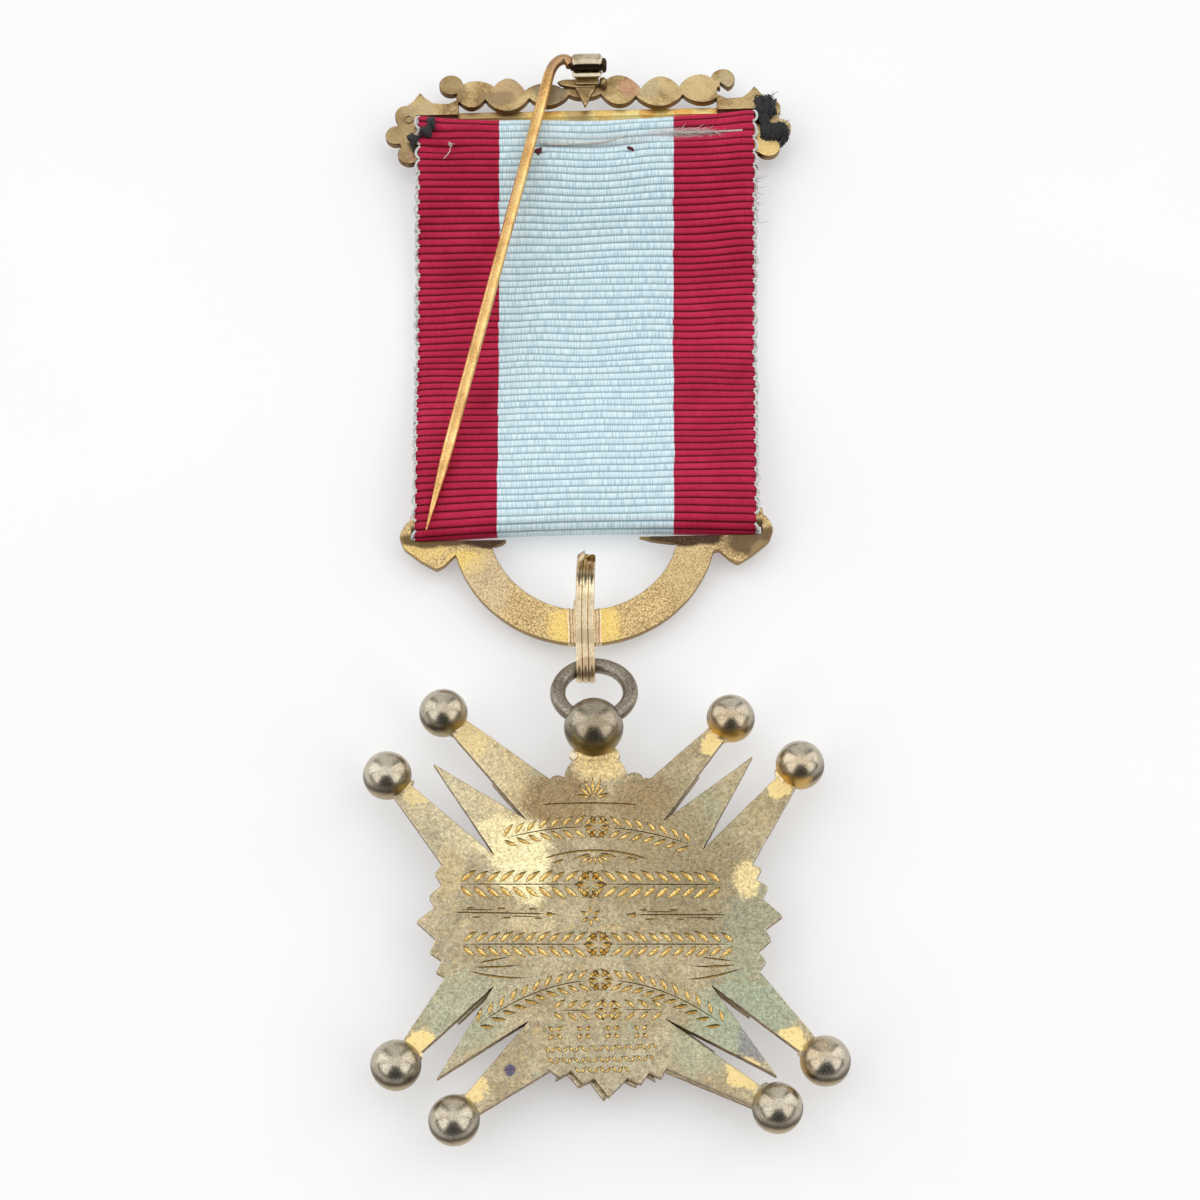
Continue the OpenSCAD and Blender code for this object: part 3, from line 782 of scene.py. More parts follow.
def add(name, shape, materials, origin=(0, 0, 0), turn=0.0, body="jewel"):
    """Makes an object of a shape in millimetres. Faces that are cut take the second material."""
    if turn:
        shape = moved(shape, (0, 0, 0), rotation(turn))
    mesh = bpy.data.meshes.new(name)
    mesh.from_pydata([tuple(c * MM for c in v) for v in shape[0]], [], shape[1])
    for material in materials:
        mesh.materials.append(material)
    if len(shape) > 2:
        for k in shape[2]:
            mesh.polygons[k].material_index = 1
        mesh.attributes.new("depth", "FLOAT", "POINT").data.foreach_set("value", shape[3])
    mesh.validate()
    smooth(mesh)
    mesh.update()
    obj = bpy.data.objects.new(name, mesh)
    bpy.context.collection.objects.link(obj)
    obj.matrix_world = Matrix.Translation((Vector(origin) + TO_ROW) * MM)
    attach(obj, body)
    return obj


def less(obj, cutter):
    """Cuts the cutter out of obj and removes the cutter"""
    cut = obj.modifiers.new("cut", "BOOLEAN")
    cut.operation = "DIFFERENCE"
    cut.solver = "EXACT"
    cut.object = cutter
    bpy.context.view_layer.update()
    solved = obj.evaluated_get(bpy.context.evaluated_depsgraph_get())
    solved = bpy.data.meshes.new_from_object(solved)
    obj.modifiers.remove(cut)
    obj.data = solved
    bpy.data.objects.remove(cutter)
    smooth(obj.data)


# Star, in its own frame: its middle at the origin and its top ball towards +y
STAR = Vector((-0.74, -87.7755, 0))
STAR_TURN = 0.9
STAR_R = 22.9
BODY_HALF = 13.7
PLATE_BACK = 4.516
PLATE_FRONT = 3.616
BALL_R = 2.18
BALL_Z = 4.316
TOP_BALL_R = 2.67
TOP_BALL_UP = 17.175
TOP_BALL_Z = 4.966
RAY_TIP = 1.4
# The layer under the back plate is smaller, apart from its lower teeth, which are soldered askew
LAYER_SCALE = 0.92
LAYER_REACH = 15.75
LAYER_SHIFT = -0.42
TOOTH = 2.4
# Angle and reach of ray a, of ray b, of the spike, then of the two slits, as shares of STAR_R
ARMS = [
    [35.5, 0.982, 55.2, 0.947, 44.8, 0.870, 30.4, 0.462, 54.7, 0.437],
    [124.8, 1.031, 143.9, 1.004, 135.0, 0.894, 125.6, 0.477, 148.8, 0.469],
    [215.7, 0.971, 233.7, 0.973, 224.5, 0.895, 213.6, 0.500, 235.3, 0.510],
    [308.3, 1.001, 322.8, 1.017, 313.2, 0.917, 297.2, 0.483, 322.7, 0.504],
]
# Corners between the arms, as shares of BODY_HALF
CORNERS = [
    [0.98, 0.28, 0.36, 0.90],
    [-0.29, 0.91, -1.01, 0.36],
    [-1.00, -0.39, -0.36, -1.02],
    [0.36, -1.04, 0.98, -0.43],
]
# Place along a cluster of teeth and height of each tooth or valley
TEETH = [
    [-0.84, 0.28], [-0.63, 0.04], [-0.43, 0.52], [-0.23, 0.33], [0, 1],
    [0.33, 0.31], [0.56, 0.54], [0.71, 0.11], [0.91, 0.35],
]


def ray_end(angle, reach, side):
    return polar(angle + side * 90, RAY_TIP / 2, polar(angle, reach * STAR_R))


def arm_outline(k):
    a, ra, b, rb, spike, rs, slit_a, da, slit_b, db = ARMS[k]
    corner = [c * BODY_HALF for c in CORNERS[k]]
    return [
        (corner[0], corner[1]),
        ray_end(a, ra, -1),
        ray_end(a, ra, 1),
        polar(slit_a, da * STAR_R),
        polar(spike, rs * STAR_R),
        polar(slit_b, db * STAR_R),
        ray_end(b, rb, -1),
        ray_end(b, rb, 1),
        (corner[2], corner[3]),
    ]


def teeth(a, b):
    a, b = Vector(a) * BODY_HALF, Vector(b) * BODY_HALF
    along = (b - a) / 2
    out = Vector((along.y, -along.x)).normalized()
    return [tuple((a + b) / 2 + along * x + out * y * TOOTH) for x, y in TEETH]


def star_outline():
    return [
        *arm_outline(0),
        *arm_outline(1),
        *teeth(CORNERS[1][2:], CORNERS[2][:2]),
        *arm_outline(2),
        *teeth(CORNERS[2][2:], CORNERS[3][:2]),
        *arm_outline(3),
        *teeth(CORNERS[3][2:], CORNERS[0][:2]),
    ]


def crown():
    """Three lobes and their foot, above the body's upper edge"""
    half = BODY_HALF
    lobes = [circle(0, 0.89 * half, 2.9)]
    lobes += [circle(side * 0.25 * half, 0.88 * half, 0.87, 32) for side in (-1, 1)]
    return [*lobes, rectangle(-0.31 * half, 0.6 * half, 0.33 * half, 0.9 * half)]


def star_bend(x, y):
    """The plate isn't flat"""
    slow = wander(x * 0.11, y * 0.11, 3)
    quick = wander(x * 0.5, y * 0.5, 7)
    return 0.07 * slow + 0.015 * quick


def rays():
    """Angle and reach of the eight rays' balls"""
    return [(arm[i], arm[i + 1] * STAR_R) for arm in ARMS for i in (0, 2)]


def ball_middles():
    return [polar(*ray) for ray in rays()]


# Golden stain at each ray's end: way in from the ball, radius, strength
RAY_ENDS = [
    (2.7, 1.2, 0.85), (2.8, 1.3, 0.85), (3.4, 1.8, 0.45), (3.2, 1.5, 0.5),
    (2.9, 1.2, 0.95), (3.1, 1.25, 0.8), (3.9, 1.5, 0.8), (3.2, 1.35, 0.95),
]
GOLDEN_BALLS = (0, 1, 7)
GOLD_STAIN = (0.66, 0.42, 0.13)
OLIVE_STAIN = (0.36, 0.27, 0.11)


def ball_gold():
    """Stains of the balls on the side of their rays, as (x, y, radius, colour)"""
    stains = []
    for k, (x, y) in enumerate(ball_middles()):
        back = Vector((x, y)).normalized() * 1.7
        r, paint = (1.9, GOLD_STAIN) if k in GOLDEN_BALLS else (1.3, OLIVE_STAIN)
        stains.append((x - back.x, y - back.y, r, paint))
    return stains


# Stains of the star's back: (x, y, half width, half height, colour, strength, dither of the edge)
STAR_STAINS = [
    (-3.9, 10.6, 3.8, 2.6, (0.26, 0.16, 0.07), 0.62, 0.9),
    (4.2, 10.4, 3.4, 2.4, (0.28, 0.18, 0.08), 0.6, 0.9),
    (0.4, 9.2, 8.5, 2.0, (0.36, 0.25, 0.12), 0.5, 0.9),
    (-13.2, 9.2, 3.2, 4.4, (0.5, 0.47, 0.32), 0.5, 0.8),
    (-8.8, 13.4, 3.0, 4.0, (0.68, 0.53, 0.28), 0.6, 0.8),
    (9.2, 8.6, 3.4, 3.6, (0.34, 0.33, 0.2), 0.55, 0.8),
    (13.2, 9.6, 2.4, 3.0, (0.5, 0.41, 0.23), 0.55, 0.8),
    (5.5, 4.5, 6.5, 5.0, (0.34, 0.265, 0.145), 0.6, 0.9),
    (9.8, 1.0, 5.0, 4.4, (0.3, 0.24, 0.14), 0.6, 0.9),
    (-12.6, 12.4, 5.0, 4.6, (0.78, 0.66, 0.42), 0.5, 0.9),
    (13.6, -2.4, 3.0, 4.6, (0.34, 0.38, 0.28), 0.5, 0.9),
    (12.2, -9.6, 4.4, 3.4, (0.36, 0.43, 0.32), 0.75, 0.8),
    (8.6, -12.4, 3.4, 2.4, (0.42, 0.45, 0.32), 0.5, 0.9),
    (-12.4, -8.8, 3.6, 3.4, (0.42, 0.46, 0.34), 0.6, 0.9),
    (-9.0, -6.6, 3.0, 2.2, (0.44, 0.41, 0.28), 0.5, 0.9),
    (0.2, -13.6, 4.6, 2.4, (0.46, 0.42, 0.3), 0.5, 0.9),
    (-7.0, 5.3, 2.6, 3.5, (0.97, 0.84, 0.5), 1.0, 0.5),
    (-6.4, 3.4, 1.8, 2.8, (0.97, 0.84, 0.5), 1.0, 0.5),
    (-8.9, 7.3, 2.5, 1.7, (0.95, 0.8, 0.46), 0.9, 0.65),
    (-11.6, 6.9, 2.2, 1.5, (0.8, 0.68, 0.42), 0.55, 0.9),
    (-6.0, -0.8, 2.4, 1.2, (0.7, 0.58, 0.34), 0.55, 0.9),
    (0.3, 13.9, 2.3, 1.7, (0.86, 0.65, 0.31), 0.8, 0.7),
    (12.8, 2.6, 1.2, 1.7, (0.92, 0.74, 0.38), 0.85, 0.7),
    (-13.4, 3.8, 1.4, 2.4, (0.64, 0.5, 0.27), 0.6, 0.8),
    (12.6, -12.2, 1.2, 1.9, (0.21, 0.2, 0.27), 0.6, 1.0),
    (-8.1, -14.0, 0.45, 0.5, (0.1, 0.09, 0.17), 0.95, 0.3),
]


def star_gilt():
    """Silver gilt, worn to a grey and golden grain, darker on walls with painted shade, and brighter on the
    bevels, which are rubbed edges with a painted highlight
    """
    look = Look("silver_gilt")
    fine = look.noise(9.5, 2, 0.7)
    grain = look.noise(3.4, 4, 0.75)
    broad = look.noise(0.36, 5, 0.62, 0.5)
    greys = [(0.36, (0.39, 0.31, 0.185)), (0.5, (0.46, 0.38, 0.24)), (0.64, (0.54, 0.455, 0.3))]
    color = look.ramp(broad, greys)
    cool = look.ease(look.noise(0.5, 5, 0.68, shift=(31, 17, 5)), 0.53, 0.68, 0, 0.45)
    color = look.mix(cool, color, (0.4, 0.42, 0.32))
    warm = look.ease(look.noise(1.1, 4, 0.7, shift=(-17, 41, 9)), 0.55, 0.68, 0, 0.65)
    color = look.mix(warm, color, (0.62, 0.46, 0.22))
    for x, y, rx, ry, paint, share, dither in STAR_STAINS:
        mask = look.times(look.patch(x, y, rx, ry, 0.45, 0.55, 0.5, dither), share)
        color = look.mix(mask, color, paint)
    # Grain: light and dark points, and hues that change from point to point
    tone = look.scaled(grain, 0.62, look.times(fine, 0.38))
    shades = [(0.35, (0.5, 0.47, 0.41)), (0.5, (0.97, 0.97, 0.96)), (0.63, (1.5, 1.48, 1.42))]
    color = look.mix(0.85, color, look.ramp(tone, shades), "MULTIPLY")
    hue = look.noise(7.5, 2, 0.6, shift=(3, -11, 27))
    color = look.mix(look.ease(hue, 0.58, 0.68, 0, 0.45), color, (0.36, 0.43, 0.42))
    color = look.mix(look.ease(hue, 0.4, 0.31, 0, 0.5), color, (0.66, 0.48, 0.24))
    for (x, y), (inwards, r, share) in zip(ball_middles(), RAY_ENDS):
        back = Vector((x, y)).normalized() * inwards
        mask = look.patch(x - back.x, y - back.y, r, r, 0.8, 0.9, 0.2, 0.35)
        color = look.mix(look.times(mask, share), color, (0.93, 0.72, 0.32))
    spots = look.ease(look.noise(7.0, 2, 0.6, shift=(50, 3, 8)), 0.63, 0.7)
    color = look.mix(look.times(spots, 0.65), color, (0.14, 0.1, 0.07))
    up = look.split(look.normal())[2]
    # Brighter on the bevels: rubbed edges with a painted highlight
    worn = look.times(look.ease(up, 0.93, 0.8), look.ease(up, 0.2, 0.45))
    worn = look.times(worn, look.ease(grain, 0.4, 0.56, 0.2, 0.9))
    color = look.mix(worn, color, (0.86, 0.76, 0.58))
    # Painted shade: the walls take streaked dark browns
    wall = look.ease(up, 0.3, 0.1)
    streaks = look.noise(1.6, 4, 0.7, stretch=(1, 1, 3))
    browns = [(0.38, (0.09, 0.055, 0.03)), (0.52, (0.3, 0.19, 0.08)), (0.66, (0.7, 0.5, 0.22))]
    wall_shade_and_streaks = look.ramp(streaks, browns)
    color = look.mix(wall, color, wall_shade_and_streaks)
    look.set("Base Color", color)
    rough = look.ease(tone, 0.4, 0.62, 0.46, 0.3)
    look.set("Roughness", look.scaled(spots, 0.2, rough))
    scratch = look.noise(1.2, 4, 0.65, stretch=(7, 1, 1))
    height = look.scaled(tone, 0.7, look.times(scratch, 0.35))
    look.bump(look.minus(height, look.times(spots, 0.4)), 0.03)
    return look.material


def cut_gold():
    """Bright gold at the bottom of a cut, and dark brown along its edges, which is painted shade on the
    cut's walls
    """
    look = Look("cut_gold")
    fine = look.noise(6.5, 3, 0.7)
    golds = [(0.38, (0.56, 0.36, 0.12)), (0.5, (0.84, 0.62, 0.24)), (0.64, (1.0, 0.84, 0.42))]
    depth = look.scaled(look.noise(3.0, 3, 0.7), 0.05, look.value_of("depth"))
    # Painted shade: the shallow parts of a cut, along its edges, take the dark brown
    bottom = look.ease(depth, 0.035, 0.085)
    look.set("Base Color", look.mix(bottom, (0.1, 0.065, 0.03), look.ramp(fine, golds)))
    look.set("Roughness", look.ease(fine, 0.4, 0.6, 0.42, 0.24))
    look.bump(fine, 0.02)
    return look.material


# The plain boss in front, as (radius, height) from the table up
BOSS = [
    (0, 0), (5.9, 0), (6.3, 0.1), (7.0, 1.3), (7.0, 1.42), (8.6, 1.42), (8.93, 1.52), (9.5, 2.7),
    (9.5, 2.86), (0, 2.86),
]


def make_star():
    tones = ((0.34, 0.29, 0.21), (0.53, 0.47, 0.37), (0.67, 0.61, 0.51))
    ray_silver = ball_silver("ray_silver", *tones, ball_gold())
    tones = ((0.22, 0.18, 0.13), (0.36, 0.31, 0.235), (0.51, 0.45, 0.35))
    top_silver = ball_silver("top_silver", *tones, [(0, 14.8, 2.2, OLIVE_STAIN)])
    gilt = star_gilt()
    pieces = []

    def star_piece(name, shape, *materials):
        pieces.append(add(name, shape, materials, STAR, STAR_TURN))

    outline = star_outline()
    back = finished(region([outline, *crown()]))
    shape = plate(back, PLATE_BACK, PLATE_FRONT, 0.1, 0.9, STROKES, star_bend)
    star_piece("star_plate", shape, gilt, cut_gold())

    scaled = region([[(x * LAYER_SCALE, y * LAYER_SCALE) for x, y in outline]])
    under = overlap_of(scaled[0], circle(0, 0, LAYER_REACH, 96))
    low_teeth = [(x + LAYER_SHIFT, y) for x, y in teeth(CORNERS[2][2:], CORNERS[3][:2])]
    thick_ray = arm_outline(3)[:4]
    front_loops = finished(region([*under, [(0, -5), *low_teeth], thick_ray]), seed=5)
    front = plate(front_loops, PLATE_FRONT + 0.05, PLATE_FRONT - 0.75, 0.12)
    star_piece("star_front", joined(front, turned(BOSS)), gilt)

    balls, beads = [], []
    for k, (angle, reach) in enumerate(rays()):
        balls.append(moved(ball(BALL_R, dent=0.03, seed=k * 3.1), (*polar(angle, reach), BALL_Z)))
        bead = ball(1, 12, 24, 0.3, k * 7.7, (0.42, 0.9, 0.42))
        place = (*polar(angle, reach - BALL_R * 0.94), BALL_Z - 0.12)
        beads.append(moved(bead, place, rotation(angle)))
    star_piece("ray_balls", joined(*balls), ray_silver)
    star_piece("ball_solder", joined(*beads), gilt)

    top = moved(ball(TOP_BALL_R, 40, 72, 0.03, 40), (0, TOP_BALL_UP, TOP_BALL_Z))
    star_piece("top_ball", top, top_silver)
    less(pieces[-1], ring_cutter())
    stem = ball(1, 20, 48, 0.12, 9, (2.3, 1.15, 0.6))
    star_piece("top_ball_solder", moved(stem, (0, TOP_BALL_UP - 2.3, PLATE_FRONT + 0.45)), gilt)
    for piece in pieces:
        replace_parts(piece, "star")


def overlap_of(one, two):
    """The loops of what two outlines share"""
    corners = [Vector(p) for p in [*counter_clockwise(one), *counter_clockwise(two)]]
    faces = [list(range(len(one))), list(range(len(one), len(corners)))]
    found = delaunay_2d_cdt(corners, [], faces, 1, NEAR)
    kept = [t for t, source in zip(found[2], found[5]) if len(set(source)) == 2]
    return border(found[0], kept)


def turned(profile, around=96):
    """A solid turned about z from (radius, height) points that start and end on the axis"""
    inner = profile[1:-1]
    vertices = [(x, y, z) for r, z in inner for x, y in circle(0, 0, r, around)]
    return vertices, net(len(inner), around) + caps(len(inner), around)


# Engraving: generic bright-cut ornament in the star's frame, each cut a list of (x, y, half width)
def leaf(x, y, angle, length, width, bend=0.0, count=7):
    """A tapered cut that starts at (x, y) and bends by an angle along its way"""
    cut = []
    here = Vector((x, y))
    for k in range(count):
        t = k / (count - 1)
        half = width / 2 * math.sin(math.pi * t**0.8) if 0 < k < count - 1 else 0.0
        cut.append((here.x, here.y, half))
        here = here + Vector(polar(angle + bend * (t - 0.5), length / (count - 1)))
    return cut


def line_cut(points, width):
    """A thin line through points, tapered at both ends"""
    count = len(points)
    cut = []
    for k, (x, y) in enumerate(points):
        ends = min(k, count - 1 - k)
        cut.append((x, y, 0.0 if ends == 0 else width / 2 * min(1, 0.45 + 0.28 * ends)))
    return cut


def bowed(a, b, rise, count):
    """Points from a to b along an arc that rises in the middle"""
    a, b = Vector(a), Vector(b)
    across = Vector((-(b - a).y, (b - a).x)).normalized()
    points = []
    for k in range(count):
        t = k / (count - 1)
        points.append(tuple(a.lerp(b, t) + across * rise * 4 * t * (1 - t)))
    return points


def garland(points, size, width, spread=38):
    """A stem with pairs of leaves, which point from its ends to a flower in its middle"""
    cuts = []
    last = len(points) - 1
    stem = [p for k, p in enumerate(points) if abs(k - last / 2) > 0.8]
    half = len(stem) // 2
    for part in (stem[:half], stem[half:]):
        if len(part) > 2:
            cuts.append(line_cut(part, 0.1))
    for k, point in enumerate(points):
        a, b = Vector(points[max(k - 1, 0)]), Vector(points[min(k + 1, last)])
        along = math.degrees(math.atan2((b - a).y, (b - a).x))
        if k > last / 2:
            along += 180
        elif 2 * k == last:
            for turn in range(0, 360, 60):
                start = polar(turn + along, 0.2 * size, point)
                cuts.append(leaf(*start, turn + along, 0.66 * size, width * 1.1))
            continue
        for side in (-1, 1):
            grown = size * (1 + 0.07 * math.sin(k * 2.3 + side))
            start = polar(along + side * 90, 0.1 + 0.04 * size, point)
            cuts.append(leaf(*start, along + side * spread, grown, width, -side * 26))
    return cuts


def fan(x, y, size, width, angles, inner=0.22):
    cuts = []
    for turn, share in angles:
        start = polar(turn, inner * size, (x, y))
        cuts.append(leaf(*start, turn, size * share, width))
    return cuts


def arrow_rule(a, b):
    """A thin double rule with barbs and an arrowhead at b"""
    a, b = Vector(a), Vector(b)
    along = (b - a).normalized()
    side = Vector((-along.y, along.x))
    angle = math.degrees(math.atan2(along.y, along.x))
    length = (b - a).length

    def piece(share, out, size, width, taper=9):
        begin = a + along * length * share + side * out
        return leaf(begin.x, begin.y, angle, length * size, width, count=taper)

    cuts = [line_cut(bowed(a, b - along * 0.9, 0, 17), 0.13)]
    cuts += [piece(0.05, 0.27, 0.42, 0.1), piece(0.5, -0.26, 0.36, 0.1)]
    head = b - along * 0.85
    cuts.append([(head.x, head.y, 0.24), ((head.x + b.x) / 2, (head.y + b.y) / 2, 0.13), (b.x, b.y, 0.0)])
    for share in (0.12, 0.42, 0.72):
        cuts.append(piece(share, 0.42, 0.09, 0.17))
        cuts.append(piece(share + 0.06, -0.42, 0.09, 0.17))
    return cuts


def wheat(a, b, count, size, width):
    """A row of small slanting cuts, like grains of wheat"""
    cuts = []
    for k, (x, y) in enumerate(bowed(a, b, 0, count)):
        slant = 52 if k % 2 else -52
        start = polar(slant + 180, size / 2, (x, y))
        cuts.append(leaf(*start, slant, size, width, count=5))
    return cuts


def ornament():
    cuts = []
    shell = [(90, 1.0), (68, 0.95), (112, 0.95), (45, 0.82), (135, 0.82), (20, 0.66), (160, 0.66)]
    cuts += fan(-0.3, 10.5, 1.75, 0.34, shell)
    cuts.append(line_cut(bowed((-4.9, 10.15), (3.6, 9.8), 0.15, 25), 0.14))
    cuts += garland(bowed((-8.3, 7.1), (8.0, 5.9), 1.35, 17), 1.4, 0.4)
    cuts.append(line_cut(bowed((-4.8, 5.1), (4.1, 4.7), 0.75, 25), 0.18))
    spray = [(-90, 0.5), (-60, 0.7), (-120, 0.7), (-36, 0.95), (-144, 0.95), (-15, 1.15), (-165, 1.15)]
    cuts += fan(-0.35, 5.45, 1.35, 0.3, spray, 0.32)
    for side in (-1, 1):
        cuts.append(leaf(-0.35 + side * 2.75, 4.95, 90 - side * 103, 1.15, 0.26, side * 30))
    cuts += garland(bowed((-12.2, 3.0), (10.5, 2.05), 0.0, 21), 1.72, 0.48)
    cuts += arrow_rule((-12.9, 0.45), (-3.9, -0.1))
    cuts += arrow_rule((10.9, -0.75), (2.1, -0.4))
    cuts += fan(-0.95, -0.4, 0.78, 0.34, [(k * 60 + 30, 1) for k in range(6)], 0.28)
    cuts += garland(bowed((-12.1, -2.5), (11.3, -3.45), 0.0, 23), 1.52, 0.43)
    for x, y, way in ((-11.6, -4.95, 1), (11.9, -5.65, -1)):
        for k, (length, width) in enumerate(((5.2, 0.2), (4.1, 0.18), (2.8, 0.15))):
            angle = 90 - way * (90 + 8 - 9 * k)
            cuts.append(leaf(x + way * 0.4 * k, y + 0.36 * k, angle, length, width, way * (20 - 8 * k), 13))
    cuts += garland(bowed((-10.9, -9.7), (9.9, -10.5), 3.9, 23), 1.3, 0.38)
    cuts += garland(bowed((-4.4, -8.75), (4.8, -9.05), 0.0, 9), 1.2, 0.36)
    for k in range(4):
        x, y = -4.4 + 2.45 * k, -10.75 - 0.06 * k
        cuts += fan(x, y, 0.62, 0.36, [(45, 1), (135, 1), (225, 1), (315, 1)], 0.35)
    for y, reach, count in ((-12.2, 4.6, 19), (-13.2, 4.3, 17), (-14.1, 2.1, 9)):
        cuts += wheat((-0.5 - reach, y), (-0.5 + reach, y - 0.1), count, 0.74, 0.28)
    return cuts


# Jump ring
RING_R = 3.28
WIRE_R = 0.7
RING_TILT = 19
RING = Vector((-0.890, -66.981, 4.418))


def ring_path(count):
    tilt = rotation(-RING_TILT, "X")
    points = []
    for k in range(count):
        x, y = polar(360 * k / count, RING_R)
        points.append(RING + tilt @ Vector((x, y, 0)))
    return points


def ring_cutter():
    """The hole of the top ball: the ring's wire with play round it"""
    shape = sweep(ring_path(64), circle(0, 0, WIRE_R + 0.1, 24), closed=True)
    return add("ring_cutter", shape, [RING_SILVER])


def make_ring():
    count = 120
    scales = []
    for k in range(count):
        turn = 2 * math.pi * k / count
        scales.append(1 + 0.035 * wander(math.cos(turn) * 1.5, math.sin(turn) * 1.5, 2))
    shape = sweep(ring_path(count), circle(0, 0, WIRE_R, 28), closed=True, scales=scales)
    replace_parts(add("jump_ring_wire", shape, [RING_SILVER]), "jump_ring")


# Hook
STRAP_W = 1.72
STRAP_T = 0.75
REED_DEPTH = 0.15
HOOK_X = -1.6
HALF_RING = Vector((-1.4, -48.85))
HALF_RING_R = 12.4
HALF_RING_IN = 8.9
EDGE_BEND = 0.785
FOLD_Z = 2.0
# Middle and radius of the strap's bend round the ring, then of the bend of its free end
BEND = (-63.9, 3.37)
BEND_R = 1.2
TIP = (-56.899, 6.111)
TIP_R = 2.2


def arc(about, r, start, end, steps):
    return [polar(start + (end - start) * k / steps, r, about) for k in range(steps + 1)]


def hook_path():
    """The strap's middle line as (y, z)"""
    inner = (HALF_RING.y - HALF_RING_IN, FOLD_Z)
    outer_y = HALF_RING.y - HALF_RING_R
    points = [(inner[0] - 2.6, FOLD_Z - EDGE_BEND)]
    points += arc(inner, EDGE_BEND, -90, 90, 16)
    points.append((outer_y - 0.3, FOLD_Z + EDGE_BEND))
    points += arc(BEND, BEND_R, 285, 83, 32)
    points += arc(TIP, TIP_R, 263, 352, 16)
    return [*points, polar(82, 1.0, points[-1])]


def reeded(width, thick, deep):
    """A strap's section: three reeds on each face, as (across, up)"""
    section = []
    for face in (1, -1):
        for reed in range(3):
            for k in range(9):
                t = k / 8
                x = -width / 2 + (reed + t) * width / 3
                swell = math.sqrt(max(0, 1 - (2 * t - 1) ** 2))
                z = thick / 2 - deep * (1 - swell)
                section.append((face * x, face * z))
    return section


def resampled(points, step):
    """Points spaced evenly along a line"""
    points = [Vector(p) for p in points]
    out = [points[0]]
    rest = step
    for a, b in zip(points, points[1:]):
        length = (b - a).length
        at = rest
        while at < length:
            out.append(a.lerp(b, at / length))
            at += step
        rest = at - length
    out.append(points[-1])
    return out


def make_hook():
    path = resampled(hook_path(), 0.16)
    count = len(path)
    points = []
    for k, p in enumerate(path):
        share = k / (count - 1)
        lean = 0.32 * max(0, (share - 0.72) / 0.28) ** 1.2
        back = -0.22 * max(0, (0.3 - share) / 0.3)
        points.append((HOOK_X + lean + back, p.x, p.y))

    def section(k):
        # The free end is flattened over its last points
        near_end = max(0, (k - count + 14) / 13)
        thick = STRAP_T * (1 + 0.15 * near_end)
        return reeded(STRAP_W * (1 - 0.04 * near_end), thick, REED_DEPTH + 0.05 * near_end)

    vertices, faces = sweep(points, section, side=(1, 0, 0))
    depths = []
    for k in range(count - 1):
        heights = [z for x, z in section(k)]
        depths += [max(heights) - abs(z) for z in heights]
    depths += [0] * (len(vertices) - len(depths))
    shape = (vertices, faces, set(), depths)
    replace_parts(add("hook_strap", shape, [strap_gilt()]), "hook")


# Suspender
SUSPENDER_X = -1.2
LUG_HALF = 17.5
LUG_DROP = 3.35
FOLD_BOTTOM = -50.0
SLOT_BOTTOM = -50.3
BOTTOM_RAIL = -47.45
RAIL_W = 1.9
RAIL_R = 0.8
SUSPENDER_BACK = 2.35
SADDLE_HALF = 1.42
# The left lug's outline from its upper tip, and the half ring's two cusps
LUG = [
    [0.9, 0.64], [0.935, 0.61], [0.968, 0.46], [0.99, 0.26], [1.003, 0.06], [0.978, -0.31], [0.887, -0.71],
    [0.802, -1], [0.757, -0.84], [0.704, -0.55], [0.66, -0.62], [0.56, -0.15], [0.85, 0],
]
LEFT_CUSP = [[0.78, 0.03], [0.86, -0.045], [0.95, -0.07], [1.1, 0.05]]
RIGHT_CUSP = [[0.5, 0.02], [0.7, -0.045], [0.95, -0.085], [1.1, 0.05]]


def make_suspender():
    middle = (-0.2, HALF_RING.y)
    holes = [circle(*middle, HALF_RING_IN, 120), rectangle(-20, SLOT_BOTTOM, 20, -30)]
    adds = region([circle(*middle, HALF_RING_R, 160)], holes)
    for side, cusp in ((-1, LEFT_CUSP), (1, RIGHT_CUSP)):
        adds.append([(side * x * LUG_HALF, FOLD_BOTTOM + y * LUG_DROP) for x, y in LUG])
        adds.append([(middle[0] + side * x * HALF_RING_IN, SLOT_BOTTOM + y * HALF_RING_IN) for x, y in cusp])
    cut = rectangle(-16.3, SLOT_BOTTOM, 16.4, BOTTOM_RAIL)
    loops = finished(region(adds, [cut]), corner=0.3, seed=11)
    body = plate(loops, SUSPENDER_BACK, SUSPENDER_BACK - 0.7, 0.12, 1.2)
    rail = rail_shape(-16.5, 16.6, BOTTOM_RAIL - RAIL_W)
    for name, shape, material, x in (
        ("suspender_plate", body, SUSPENDER_GILT, SUSPENDER_X),
        ("suspender_rail", rail, SUSPENDER_GILT, SUSPENDER_X),
        ("hook_saddle", saddle_shape(), SADDLE_GILT, 0),
    ):
        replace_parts(add(name, shape, [material], (x, 0, 0)), "suspender")


